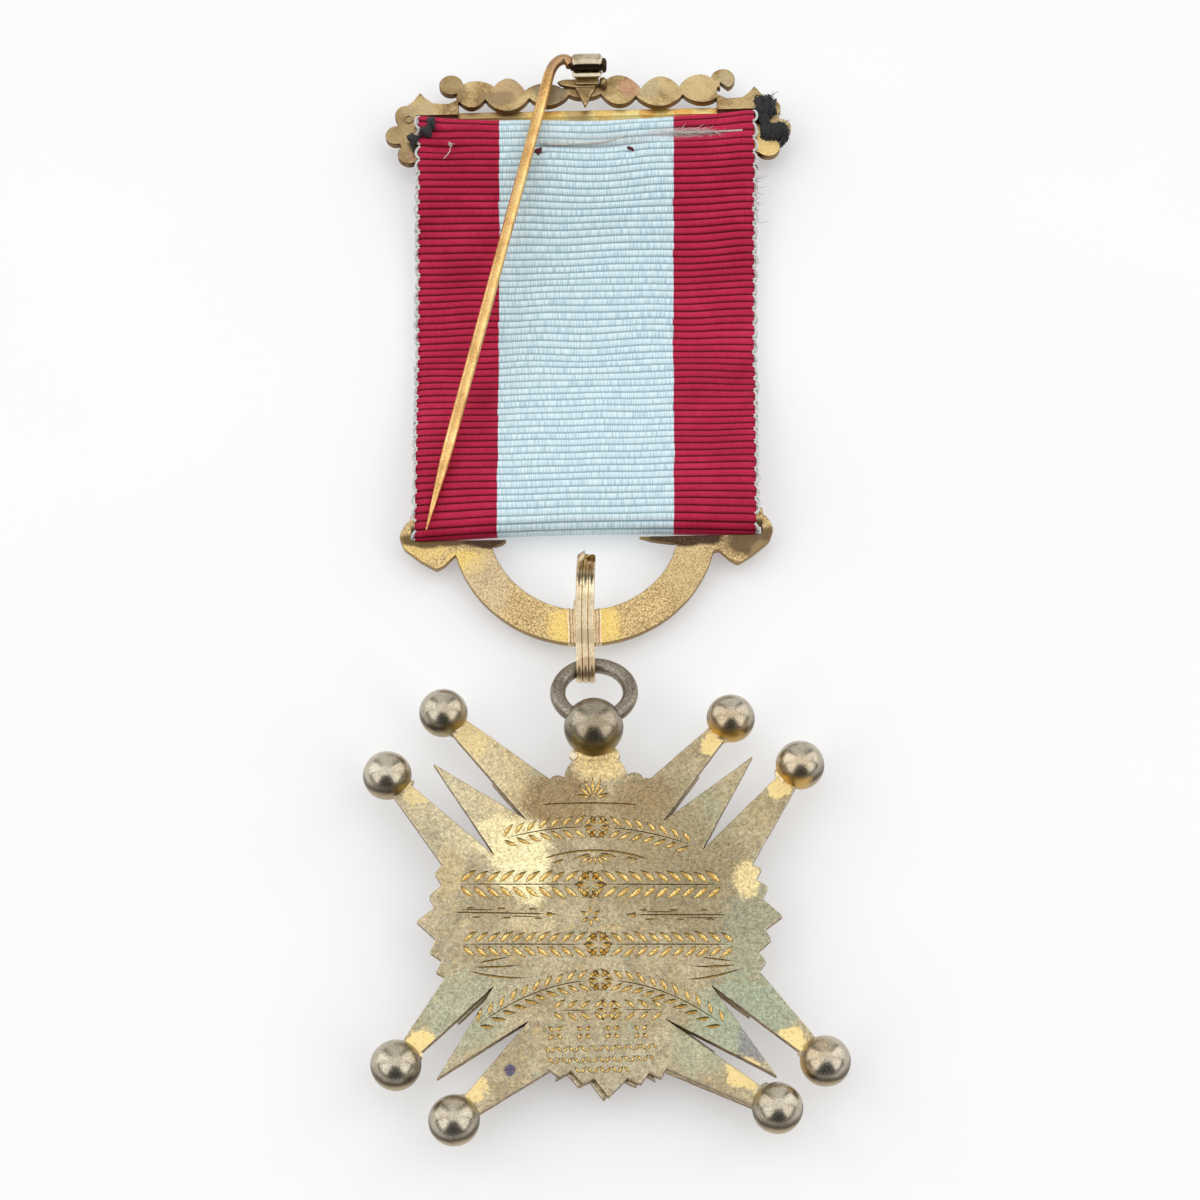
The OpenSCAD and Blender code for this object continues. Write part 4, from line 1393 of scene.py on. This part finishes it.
def saddle_shape():
    """A thin band over the half ring under the hook, with two ridges that grip the ring's edges"""
    top = SUSPENDER_BACK
    inner, outer = HALF_RING.y - HALF_RING_IN, HALF_RING.y - HALF_RING_R
    band = rectangle(HOOK_X - SADDLE_HALF, outer + 0.12, HOOK_X + SADDLE_HALF, inner - 0.12)
    shapes = [slab(band, top + 0.045, top - 0.05, 0.04, 0.25)]
    for side in (-1, 1):
        for aside, r in ((0, 0.15), (0.3, 0.09)):
            x = HOOK_X + side * (SADDLE_HALF - aside)
            way = x - HALF_RING.x
            near = HALF_RING.y - math.sqrt(HALF_RING_IN**2 - way**2)
            far = HALF_RING.y - math.sqrt(HALF_RING_R**2 - way**2)
            points = [(x, near - 0.04, top - 0.6), (x, near - 0.04, top - 0.1), (x, near - 0.2, top + 0.02)]
            for k in range(1, 6):
                y = near - 0.2 + (far - near + 0.4) * k / 6
                points.append((x + 0.03 * side * math.sin(k), y, top + 0.03))
            points += [(x, far + 0.2, top + 0.02), (x, far + 0.04, top - 0.1), (x, far + 0.04, top - 0.6)]
            shapes.append(thread(points, r, 12))
    return joined(*shapes)


def rail_shape(x0, x1, y):
    """A rail of rounded section from x0 to x1, with its lower edge at y"""
    section = arc((RAIL_R, FOLD_Z), RAIL_R, 90, 270, 12)
    section += arc((RAIL_W - RAIL_R, FOLD_Z), RAIL_R, -90, 90, 12)
    shape = plate([dense(section, 0.5)], x1, x0, 0.15)
    return [(a, b + y, c) for a, b, c in along_x(shape[0])], shape[1]


# Brooch bar
BAR_HALF = 16.9
SCROLL_H = 1.8
BAR_Z = 2.0
BAR_BACK = 2.8
END_REACH = 3.45
END_DEPTH = 8.5
VOLUTE_R = 1.2
RIVET = (-18.03, -3.24)
HINGE = Vector((0, 1.7, 4.4))
KNUCKLE_R = 1.34
KNUCKLE_HALF = 1.5
BORE_R = 0.68
# Outline of the lip beside the knuckle
LIP = [
    (-3.1, 0.75), (-2.7, 0.25), (-1.3, -0.02), (0.5, -0.05),
    (1.2, 0.2), (1.2, 1.03), (-0.9, 1.03), (-2.4, 1.0),
]
# The feet's profile, as (radius, height) from the table up
FOOT = [(0, 0), (0.62, 0), (0.75, 0.06), (0.94, 0.22), (1, 0.36), (1, 2.05), (0, 2.05)]
# Place of a valley and its height, and the swell up to the next valley
TOP_WAVES = [
    [-0.775, 0.25, 0.46], [-0.558, 0.28, 0.7], [-0.374, 0, 0.42], [-0.15, 0.08, 0.6],
    [0.08, 0.3, 0.78], [0.321, -0.04, 0.76], [0.549, 0.07, 0.68], [0.78, 0.3, 0],
]
LOW_WAVES = [
    [-0.785, -0.4, -0.64], [-0.612, -0.53, -0.84], [-0.347, -0.53, -0.62],
    [-0.111, -0.35, -0.25], [0.081, -0.32, -0.68], [0.288, -0.5, -0.76],
    [0.569, -0.49, -0.42], [0.77, -0.75, 0],
]
END_LOBES = [[0.39, 0.32, 0.34], [0.68, 0.6, 0.32], [0.3, 0.865, 0.34]]
END_OUTLINE = [
    [-0.83, -0.17], [-0.37, -0.154], [-0.15, -0.08], [0, 0], [0.2, -0.12], [0.42, -0.2],
    [0.68, -0.35], [0.6, -0.7], [0.35, -0.96], [-0.1, -0.94], [-0.3, -0.6], [-0.3, -0.4],
]


def wave_points(waves, steps=16):
    points = []
    for a, b in zip(waves, waves[1:]):
        for i in range(steps):
            t = i / steps
            x = (a[0] + (b[0] - a[0]) * t) * BAR_HALF
            y = a[1] + (b[1] - a[1]) * t + a[2] * math.sin(math.pi * t) ** 0.75
            points.append((x, y * SCROLL_H))
    points.append((waves[-1][0] * BAR_HALF, waves[-1][1] * SCROLL_H))
    return points


def end_ornament(side):
    neck = 0.77 * BAR_HALF
    lobes = []
    for out, down, r in END_LOBES:
        lobes.append(circle(side * (BAR_HALF + out * END_REACH), -down * END_DEPTH, r * END_REACH, 48))
    outline = [(side * neck, -0.1 * END_DEPTH)]
    outline += [(side * (BAR_HALF + x * END_REACH), y * END_DEPTH) for x, y in END_OUTLINE]
    outline.append((side * neck, -0.36 * END_DEPTH))
    return [*lobes, outline]


def make_bar():
    volute_x = 0.815 * BAR_HALF
    volute_y = 0.47 * SCROLL_H
    waves = wave_points(TOP_WAVES) + wave_points(LOW_WAVES)[::-1]
    notch = [(x * BAR_HALF, y * SCROLL_H) for x, y in ((0.795, 0.3), (0.865, -0.3), (0.8, -0.8))]
    curl = region([circle(volute_x, volute_y + 0.06 * SCROLL_H, VOLUTE_R, 48)], [notch])
    volute = circle(-volute_x, volute_y, VOLUTE_R, 48)
    slot = rectangle(-17.25, -4.55, 17.25, -2.8)
    outline = region([waves, volute, *curl, *end_ornament(-1), *end_ornament(1)], [slot])
    scrolls = plate(finished(outline, corner=0.12, seed=21), BAR_BACK, BAR_Z, 0.12, 1.0)
    strip = slab(rectangle(-13.35, -2.8, 13.35, -2.07), BAR_Z + 0.05, BAR_Z - 0.8, 0.06, 0.1, 0.8)
    foot = turned(FOOT, 40)
    feet = joined(*[moved(foot, (side * 18.25, -4.25, 0)) for side in (-1, 1)])
    ring = sweep([(*p, BAR_BACK) for p in circle(*RIVET, 0.42, 28)], circle(0, 0, 0.12, 10), closed=True)
    for name, shape, material, place in (
        ("bar_plate", scrolls, BAR_GILT, (0, 0, 0)),
        ("bar_strip", strip, STRIP_GILT, (0, 0, 0)),
        ("bar_rail", rail_shape(-17.07, 17.07, -5.65), BAR_GILT, (0, 0, 0)),
        ("bar_feet", feet, BAR_GILT, (0, 0, 0)),
        ("hinge_seat", seat_shape(), BAR_GILT, (0, 0, 0)),
        ("knuckle", knuckle_shape(), KNUCKLE_GILT, HINGE),
        ("rivet_ring", ring, BAR_GILT, (0, 0, 0)),
    ):
        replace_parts(add(name, shape, [material], place), "brooch_bar")


def knuckle_shape():
    """Sheet curled round the pin's axle, with its mouth towards the ribbon"""
    section = arc((0, 0), KNUCKLE_R, -162, 122, 44) + arc((0, 0), BORE_R, 122, -162, 36)
    shape = plate([rounded(counter_clockwise(section), 0.22)], KNUCKLE_HALF, -KNUCKLE_HALF, 0.24)
    vertices = []
    for x, y, z in along_x(shape[0]):
        outside = min(1, max(0, math.hypot(y, z) - BORE_R) / 0.3)
        narrow = 1 - 0.16 * outside * abs(x / KNUCKLE_HALF) ** 2.5
        vertices.append((x, y * narrow, z * narrow))
    return vertices, shape[1]


def seat_shape():
    """Seat, lip and pointed tail under the knuckle, with a bead of solder"""
    low = BAR_BACK - 0.05
    seat = slab(rectangle(-1.2, 0.15, 1.2, 2.7), BAR_BACK + 0.6, low, 0.15, 0.2)
    lip = slab(LIP, BAR_BACK + 0.36, low, 0.15, 0.3)
    tail = [(-0.95 * KNUCKLE_R, 0.09), (-0.2 * KNUCKLE_R, -2.43), (0.65 * KNUCKLE_R, 0.09)]
    tail = slab(tail, BAR_BACK + 0.36, low, 0.15, 0.2)
    bead = moved(ball(1, 16, 28, 0.1, 3, (0.42, 0.62, 0.5)), (1.62, 0.46, BAR_BACK + 0.35))
    return joined(seat, lip, tail, bead)


# Pin, made with the hinge axis at its origin
PIN_R = 0.55
PIN_LEAN = 13.66
PIN_LENGTH = 51.4
# Length of the tapered point, and the angle at which the shaft rises to its tip
PIN_POINT = 9.0
PIN_RISE = math.degrees(math.asin(0.6 / 52.3))
# The bend beside the hinge, from the end of the axle
CROOK = [
    (0.0, 0.0), (-0.13, 0.42), (-0.48, 0.74), (-1.0, 0.75), (-1.57, 0.32), (-2.05, -0.52), (-2.38, -1.62),
]
# The pin's head beside the knuckle, as (radius, height)
HEAD = [(0, 0), (0.75, 0), (0.75, 0.2), (0.62, 0.38), (0.35, 0.45), (0, 0.45)]


def make_pin():
    points = [(p.x, p.y) for p in smooth_line([(x, y, 0) for x, y in CROOK], 8)]
    start = Vector(points[-1])
    way = Vector(polar(-90 - PIN_LEAN, 1))
    scales = [1.0] * len(points)
    for k in range(1, 41):
        at = PIN_LENGTH * k / 40
        points.append(tuple(start + way * at))
        tapered = max(0, (at - PIN_LENGTH + PIN_POINT) / PIN_POINT)
        scales.append(1 - 0.88 * tapered**1.35)
    path = [(x - 1.6, y, 0.05 * wander(0, y * 0.12, 1)) for x, y in points]
    wire = sweep(path, circle(0, 0, PIN_R, 24), scales=scales)
    wire = moved(wire, (0, 0, 0), rotation(PIN_RISE, "X"))
    axle = sweep([(x, 0, 0) for x in (-1.65, -0.5, 0.5, 1.6)], circle(0, 0, 0.5, 24))
    head = turned(HEAD, 32)
    head = ([(z + 1.55, y, -x) for x, y, z in head[0]], head[1])
    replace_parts(add("pin_wire", wire, [PIN_BRASS], HINGE, body="pin"), "pin")
    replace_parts(add("pin_axle", joined(axle, head), [AXLE_PAINTED_SHADE], HINGE, body="pin"), "pin")


# Ribbon
RIBBON_X = -1.28
RIBBON_LEAN = 1.13
RIBBON_HALF = 15.95
RIBBON_FLARE = 0.92
RIBBON_T = 0.4
FOLD_TOP = -3.1
FOLD_R = 1.45
RIBBON_LOW = 1.25
FRONT_LOW = 0.05
SAG_TOP = 18.0
SAG_BOTTOM = 22.0
RIB = 0.78
COLUMNS = 56
# Nothing lies lower than this above the table
LEAST_Z = 0.01


def ribbon_lift(y):
    """How far the cloth has risen to the rails: 1 at the folds, 0 where it lies"""
    top, low = FOLD_TOP - FOLD_R, FOLD_BOTTOM + FOLD_R
    lift = 0
    for away, run in ((top - y, SAG_TOP), (y - low, SAG_BOTTOM)):
        if away < run:
            lift = max(lift, (1 + math.cos(math.pi * max(away, 0) / run)) / 2)
    return lift


def ribbon_line():
    """The middle of the cloth as (y, z), once round: back, upper fold, front, lower fold"""
    top, low = FOLD_TOP - FOLD_R, FOLD_BOTTOM + FOLD_R
    half = RIBBON_T / 2
    steps = 200
    ys = [low + (top - low) * k / steps for k in range(steps + 1)]
    back = [(y, RIBBON_LOW + (FOLD_Z + FOLD_R - RIBBON_LOW) * ribbon_lift(y) - half) for y in ys]
    front = [(y, FRONT_LOW + (FOLD_Z - FOLD_R - FRONT_LOW) * ribbon_lift(y) + half) for y in ys[::-1]]
    upper = arc((top, FOLD_Z), FOLD_R - half, 85, -85, 34)
    lower = arc((low, FOLD_Z), FOLD_R - half, 265, 95, 34)
    return back + upper + front + lower


# Where the rows of points lie within a rib, and how high
RIB_ROWS = [(0.0, 0.0), (0.09, 0.46), (0.25, 0.82), (0.5, 1.0), (0.75, 0.82), (0.91, 0.46)]
RIB_HEIGHT = 0.24
SELVAGE_R = 0.13


class Course:
    """The ribbon's way round, with places by their rib"""

    def __init__(self):
        line = ribbon_line()
        self.line = [Vector(p) for p in line + line[:1]]
        self.lengths = [0.0]
        for a, b in zip(self.line, self.line[1:]):
            self.lengths.append(self.lengths[-1] + (b - a).length)
        self.around = self.lengths[-1]
        self.ribs = round(self.around / RIB)
        self.pitch = self.around / self.ribs

    def at(self, rib):
        """Place and outward way at a rib, which may be a fraction; ribs are a little uneven"""
        uneven = 0.14 * wander(rib * 0.45, 3.3, 0)
        s = (rib + uneven) * self.pitch % self.around
        k = min(int(np.searchsorted(self.lengths, s, "right")) - 1, len(self.line) - 2)
        t = (s - self.lengths[k]) / (self.lengths[k + 1] - self.lengths[k])
        ahead = (self.line[k + 1] - self.line[k]).normalized()
        return self.line[k].lerp(self.line[k + 1], t), Vector((-ahead.y, ahead.x))


def hill(value, middle, width):
    return math.exp(-(((value - middle) / width) ** 2))


# Where the cloth is drawn in: (x, y, half width, half height, depth)
DIMPLES = [
    (-5.0, -7.65, 0.55, 0.45, 0.3), (4.1, -7.75, 0.55, 0.45, 0.3), (-14.6, -7.0, 3.0, 0.4, 0.28),
    (-15.6, -5.2, 1.6, 0.5, 0.2), (9.0, -6.2, 4.2, 0.35, 0.24), (0.5, -6.9, 4.4, 0.32, 0.28),
    (-5.5, -6.6, 2.6, 0.4, 0.25), (2.4, -5.3, 5.0, 0.35, 0.16),
]


def ribbon_point(u, place, out, high, layer, beyond=0.0):
    """A point of the cloth: u across it, place and outward way along it, high within a rib"""
    y, z = place
    share = (y - FOLD_BOTTOM) / (FOLD_TOP - FOLD_BOTTOM)
    # The edges are uneven, each in its own way
    half = RIBBON_HALF + RIBBON_FLARE * share + 0.12 * wander(y * 0.25, 4, 0 if u < 0.5 else 9)
    side = 2 * u - 1
    x = side * (half + beyond)
    edge = min(u, 1 - u) * 2 * half
    thin = min(1, 0.4 + edge / 0.5)
    uneven = 1 + 0.3 * wander(x * 0.12, y * 1.1, 8)
    thick = 0.02 + RIB_HEIGHT * high * thin * uneven if layer > 0 else 0.1
    lift = thick * layer
    # Flutes, dimples and bows in the plane, on the side that faces up
    back = max(0, out.y)
    flutes = max(0, share - 0.35) / 0.65 * wander(x * 0.22, share * 1.5, 1)
    rise = back * (0.34 * flutes + 0.1 * wander(x * 0.25, y * 0.3, 1))
    for dx, dy, rx, ry, deep in DIMPLES:
        rise -= back * deep * hill(x + RIBBON_LEAN * share + RIBBON_X, dx, rx) * hill(y, dy, ry)
    bow = -0.45 * max(0, share - 0.6) / 0.4 - 0.3 * hill(side, 0.05, 0.3) * hill(share, 0.86, 0.12)
    bow *= 1 - side**2
    bow += max(0, 0.15 - share) / 0.15 * (0.32 - 0.56 * side**2)
    bow += 0.42 * min(1, 3 * share * (1 - share)) * wander(x * 0.16, y * 0.12, 2)
    # It bulges over the bar at its upper corners
    corner = max(0, share - 0.93) / 0.07 * min(1, max(0, (z - 2.2) / 0.8))
    corner *= 0.7 * max(0, -side) ** 3 + 0.45 * max(0, side) ** 3
    x += RIBBON_X + RIBBON_LEAN * share
    z = max(LEAST_Z, z + out.y * lift + rise + 0.45 * corner)
    return x, y + out.x * lift + bow + 0.9 * corner, z


def make_ribbon():
    course = Course()
    rows = []
    for rib in range(course.ribs):
        for share, high in RIB_ROWS:
            rows.append((*course.at(rib + share), rib + share, high))
    width = COLUMNS + 1
    vertices, uvs = [], []
    for layer in (1, -1):
        for place, out, rib, high in rows:
            for k in range(width):
                u = k / COLUMNS
                vertices.append(ribbon_point(u, place, out, high if layer > 0 else 0.3, layer))
                uvs.append((u, rib))
    count = len(rows)
    total = count * width
    faces = net(count, width, True, False)
    faces += [face[::-1] for face in net(count, width, True, False, total)]
    for i in range(count):
        row, after = i * width, (i + 1) % count * width
        for k in (0, COLUMNS):
            quad = (row + k, total + row + k, total + after + k, after + k)
            faces.append(quad if k == 0 else quad[::-1])
    ribbon = add("ribbon_band", (vertices, faces), [RIBBON_SILK])
    layer = ribbon.data.uv_layers.new(name="cloth")
    for loop in ribbon.data.loops:
        layer.data[loop.index].uv = uvs[loop.vertex_index]
    ribbon.data.attributes.remove(ribbon.data.attributes["sharp_edge"])
    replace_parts(ribbon, "ribbon")
    on_cloth = [make_selvage(course), *make_stitches()]


def make_selvage(course):
    """Loops of weft beyond both edges of the cloth, one to two ribs"""
    loops = []
    for u in (0, 1):
        for rib in range(0, course.ribs - 1, 2):
            reach = 0.42 + 0.25 * wander(rib * 0.9, u * 7, 5)
            points = []
            for k in range(10):
                t = k / 9
                place, out = course.at(rib + 0.1 + 1.8 * t)
                bulge = math.sin(math.pi * t**0.8)
                x, y, z = ribbon_point(u, place, out, 0.3 + 0.2 * bulge, 1, reach * bulge**0.7 - 0.14)
                points.append((x, y, max(z, SELVAGE_R + LEAST_Z)))
            loops.append(sweep(points, circle(0, 0, SELVAGE_R, 6)))
    return add("selvage_loops", joined(*loops), [SELVAGE_SILK])


def cloth_height(y):
    """Height of the ribbon's upper face at y"""
    return RIBBON_LOW + (FOLD_Z + FOLD_R - RIBBON_LOW) * ribbon_lift(y) - RIBBON_T / 2 + RIB_HEIGHT


# Threads. None reaches beyond this x, where the bar's right end is
BAR_END = 20.15


def smooth_line(points, per_span=5):
    """A curve through points"""
    points = [Vector(p) for p in points]
    ends = [points[0] * 2 - points[1], *points, points[-1] * 2 - points[-2]]
    out = []
    for a, b, c, d in zip(ends, ends[1:], ends[2:], ends[3:]):
        for k in range(per_span):
            t = k / per_span
            bent = (2 * a - 5 * b + 4 * c - d) * t**2 + (3 * b - a - 3 * c + d) * t**3
            out.append((2 * b + (c - a) * t + bent) / 2)
    out.append(points[-1])
    return out


def thread(points, r, sides=6):
    return sweep(smooth_line(points), circle(0, 0, r, sides))


def wound(rng, middle, reach, turns, r, lean=0.0, spread=14):
    """Rings of thread wound about a middle: half width of the winding, then the rings' radii in
    y and z; lean turns them in degrees"""
    rings = []
    for _ in range(turns):
        turn = rotation(lean + rng.uniform(-spread, spread))
        aside = turn @ Vector((rng.uniform(-1, 1) * reach[0], 0, 0))
        shift = Vector((0, rng.uniform(-0.12, 0.12), rng.uniform(-0.07, 0.07)))
        points = []
        for k in range(18):
            around = 2 * math.pi * k / 18
            swell = 1 + rng.uniform(-0.06, 0.06)
            shake = rng.uniform(-0.04, 0.04)
            ring = Vector((shake, math.cos(around) * reach[1], math.sin(around) * reach[2]))
            points.append(Vector(middle) + aside + shift + turn @ (ring * swell))
        rings.append(sweep(points, circle(0, 0, r * rng.uniform(0.75, 1.15), 6), closed=True))
    return rings


def hairs(rng, middle, spread, count, length, r, way=(0, 0, 0), side=1.0):
    """Short loose fibres about a middle, drawn out along a way; side is their share across it"""
    strands = []
    for _ in range(count):
        start = Vector(middle) + Vector([rng.uniform(-reach, reach) for reach in spread])
        start.z = max(start.z, 0.1)
        ahead = Vector((rng.gauss(0, 1), side * rng.gauss(0, 1), rng.uniform(-0.1, 0.5)))
        ahead = ahead.normalized() + Vector(way)
        bend = Vector((rng.gauss(0, 0.4), rng.gauss(0, 0.4), rng.uniform(-0.1, 0.1)))
        far = length * rng.uniform(0.5, 1.2)
        points = [start + (ahead * t + bend * t * t) * far for t in (0, 0.3, 0.65, 1)]
        for point in points:
            point.z = max(point.z, 0.08)
            point.x = min(point.x, BAR_END)
        strands.append(sweep(points, circle(0, 0, r, 4), scales=[1, 1, 0.8, 0.4]))
    return strands


def make_stitches():
    """Maroon tacks, a pale thread with a worn patch, black knots and frayed silk"""
    rng = random.Random(7)
    tacks = []
    for x, y, lean in ((-5.0, -7.62, 40), (4.1, -7.72, -15)):
        z = cloth_height(y) - 0.12
        tacks += wound(rng, (x, y, z), (0.16, 0.34, 0.16), 5, 0.09, 90 + lean, 25)
    path = [
        (-4.9, -6.9), (-2.8, -7.1), (1.0, -6.9), (3.0, -6.5),
        (4.6, -5.95), (8.2, -5.85), (11.2, -6.0), (15.4, -5.9),
    ]
    pale = []
    for offset in (0, 0.1):
        line = [(x, y + offset * math.sin(k * 2.1), cloth_height(y) + 0.05) for k, (x, y) in enumerate(path)]
        pale.append(thread(line, 0.075))
    for x, count in ((6.4, 10), (8.6, 26), (10.0, 30), (11.6, 14)):
        middle = (x, -5.85, cloth_height(-5.85) + 0.02)
        pale += hairs(rng, middle, (0.9, 0.28, 0.05), count, 0.55, 0.03, (1.2, 0, 0), 0.4)
    pale += hairs(rng, (-13.86, -6.8, cloth_height(-6.8) + 0.1), (0.1, 0.1, 0.05), 14, 0.3, 0.045)
    speck = [(-13.8, -6.8), (-13.9, -7.6), (-14.5, -8.4)]
    pale.append(thread([(x, y, cloth_height(y) + 0.06) for x, y in speck], 0.05))
    black = []
    for x, y, lean, size in ((-15.7, -4.2, 0, 0.55), (-16.2, -5.2, 30, 0.5), (-17.5, -6.0, 60, 0.5)):
        z = cloth_height(max(y, -4.6)) - 0.05
        black += wound(rng, (x, y, z), (0.32, size, 0.3), 8, 0.15, lean, 35)
        black += hairs(rng, (x, y, z + 0.2), (0.4, 0.4, 0.1), 10, 0.5, 0.03)
    tail = [(-16.2, -5.2, 3.5), (-17.0, -5.8, 3.4), (-17.7, -6.3, 3.2), (-17.5, -7.2, 3.1)]
    black.append(thread(tail, 0.14))
    fray = hairs(rng, (-17.2, -7.9, 2.7), (0.6, 0.3, 0.15), 34, 0.7, 0.04, (-0.3, 0, 0))
    loose = []
    for y in (-10.6, -11.8, -13.2, -14.3, -15.6):
        loose += hairs(rng, (16.4, y, 1.9), (0.15, 0.3, 0.2), 6, 0.7, 0.04, (0.9, 0, 0))
    pieces = (
        ("tack_stitches", tacks, MAROON_THREAD),
        ("pale_thread", pale, PALE_THREAD),
        ("black_knots", black, BLACK_THREAD),
        ("frayed_silk", fray, RED_THREAD),
        ("loose_fibres", loose, SELVAGE_SILK),
    )
    return [add(name, joined(*shapes), [silk]) for name, shapes, silk in pieces]


def make_binding():
    """Black thread wound round the right end of the bar"""
    rng = random.Random(19)
    shapes = wound(rng, (17.85, -2.6, 2.45), (0.85, 1.3, 0.7), 42, 0.11, 4, 24)
    shapes += wound(rng, (18.58, -5.6, 2.45), (1.25, 0.95, 0.7), 60, 0.11, 0, 30)
    shapes += wound(rng, (17.6, -4.3, 2.45), (0.5, 1.1, 0.68), 16, 0.11, 20, 24)
    shapes += hairs(rng, (17.9, -2.6, 3.1), (0.9, 1.2, 0.1), 150, 0.5, 0.03)
    shapes += hairs(rng, (18.8, -5.7, 3.1), (1.4, 0.9, 0.1), 200, 0.5, 0.03)
    piece = add("black_binding", joined(*shapes), [BLACK_THREAD])
    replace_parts(piece, "brooch_bar")


def thread_look(name, dark, light):
    look = Look(name, 0.0, 0.85)
    fibres = look.noise(7.0, 3, 0.7)
    look.set("Base Color", look.ramp(fibres, [(0.36, dark), (0.62, light)]))
    look.set("Roughness", look.ease(fibres, 0.3, 0.7, 0.7, 0.95))
    look.set("Sheen Weight", 0.15)
    look.bump(fibres, 0.04)
    return look.material


BLACK_THREAD = thread_look("black_thread", (0.006, 0.006, 0.008), (0.035, 0.033, 0.034))
MAROON_THREAD = thread_look("maroon_thread", (0.05, 0.004, 0.01), (0.2, 0.02, 0.05))
PALE_THREAD = thread_look("pale_thread", (0.36, 0.34, 0.3), (0.72, 0.69, 0.63))
RED_THREAD = thread_look("red_thread", (0.45, 0.08, 0.11), (0.8, 0.42, 0.42))
SELVAGE_SILK = thread_look("selvage_silk", (0.46, 0.48, 0.46), (0.8, 0.81, 0.78))


def ribbon_silk():
    look = Look("ribbon_silk", 0.0, 0.6)
    u, rib, _ = look.split(look.node("TexCoord", "UV"))
    own = look.number("FLOOR", rib)
    step = look.noise(1.0, 0, 0.5, at=look.join(own, 0, 0), stretch=(3.7, 0, 0))
    across = look.plus(u, look.scaled(step, 0.008, -0.004))
    left = look.ease(across, 0.2395, 0.242)
    right = look.ease(across, 0.7605, 0.758)
    middle = look.times(left, right)
    within = look.number("FRACT", rib)
    depth = look.number("ABSOLUTE", look.scaled(within, 2, -1))
    # Painted shade in the grooves between ribs: dark maroon on the red, grey blue on the blue
    groove = look.ease(depth, 0.62, 0.95)
    # Warp threads: fine stripes along the ribbon, each rib's own
    columns = look.join(look.times(u, 330), look.times(own, 0.6), within)
    warp = look.noise(1.0, 1, 0.5, at=columns, stretch=(1, 1, 0.3))
    tone = look.noise(0.22, 3, 0.6)
    mixed = look.scaled(warp, 0.35, look.times(tone, 0.65))
    reds = [(0.3, (0.38, 0.008, 0.035)), (0.5, (0.5, 0.014, 0.06)), (0.7, (0.62, 0.026, 0.09))]
    red = look.mix(groove, look.ramp(mixed, reds), (0.08, 0.0005, 0.004))
    blue = look.mix(look.ease(warp, 0.36, 0.58), (0.52, 0.7, 0.77), (0.78, 0.93, 0.98))
    blue = look.mix(look.times(groove, 0.85), blue, (0.3, 0.44, 0.5))
    # A grey patch along the pleat: painted shade of the pleat, with dirt
    pleat_shade_and_dirt = look.patch(0.5, -6.6, 5.5, 0.8, 0.5, 0.5, 0.9, 0.3)
    blue = look.mix(look.times(pleat_shade_and_dirt, 0.35), blue, (0.45, 0.44, 0.4))
    color = look.mix(middle, red, blue)
    worn = look.patch(9.2, -5.95, 3.6, 0.5, 0.6, 1.2, 0.8, 0.9)
    color = look.mix(look.times(worn, 0.5), color, (0.6, 0.52, 0.5))
    look.set("Base Color", color)
    look.set("Specular IOR Level", 0.2)
    look.set("Roughness", 0.62)
    look.set("Sheen Weight", 0.03)
    look.set("Sheen Roughness", 0.4)
    look.bump(warp, 0.04)
    return look.material


RIBBON_SILK = ribbon_silk()
STROKES = ornament()

make_star()
make_ring()
make_hook()
make_suspender()
make_bar()
make_pin()
make_ribbon()
make_binding()


# Floor, in metres, and the light round it
FLOOR_HALF = 2.0


def make_floor():
    look = Look("floor", 0.0, 0.75)
    grain = look.noise(0.02, 3, 0.5)
    look.set("Base Color", look.ramp(grain, [(0.3, (0.64, 0.64, 0.64)), (0.7, (0.66, 0.66, 0.66))]))
    look.set("Specular IOR Level", 0.15)
    look.set("Emission Color", (1, 1, 1))
    look.set("Emission Strength", 0.33)
    mesh = bpy.data.meshes.new("floor")
    sheet = [(x, y, 0) for x, y in rectangle(-FLOOR_HALF, -FLOOR_HALF, FLOOR_HALF, FLOOR_HALF)]
    mesh.from_pydata(sheet, [], [(0, 1, 2, 3)])
    mesh.materials.append(look.material)
    floor = bpy.data.objects.new("floor", mesh)
    bpy.context.collection.objects.link(floor)


# The room's light by direction, in degrees from the camera's side round to the back, and up from
# the floor. Each panel is (light, from side, to side, from height, to height, softness).
ROOM = 0.1
PANELS = [
    (0.9, 148, 200, -20, 100, 8),
    (1.25, -10, 200, 60, 100, 8),
    (0.07, -10, 40, -20, 70, 8),
    (1.6, 40, 88, 15, 60, 4),
    (1.65, 94, 136, -20, 60, 4),
]


def make_room():
    world = bpy.data.worlds.new("world")
    bpy.context.scene.world = world
    world.use_nodes = True
    room = Nodes(world.node_tree)

    def between(value, low, high, soft):
        up = room.ease(value, low - soft / 2, low + soft / 2)
        down = room.ease(value, high - soft / 2, high + soft / 2)
        return room.times(up, room.minus(1, down))

    x, y, z = room.split(room.node("TexCoord", "Generated"))
    side = room.number("ARCTAN2", room.number("ABSOLUTE", x), room.times(y, -1))
    side = room.times(side, math.degrees(1))
    height = room.times(room.number("ARCSINE", z), math.degrees(1))
    light = ROOM
    for panel, from_side, to_side, low, high, soft in PANELS:
        mask = room.times(between(side, from_side, to_side, soft), between(height, low, high, soft))
        light = room.plus(room.times(light, room.minus(1, mask)), room.times(mask, panel))
    background = room.tree.nodes["Background"]
    room.feed(light, background.inputs["Strength"])
    room.feed((1, 1, 1), background.inputs["Color"])
    bpy.context.scene.view_settings.view_transform = "Standard"


make_floor()
make_room()
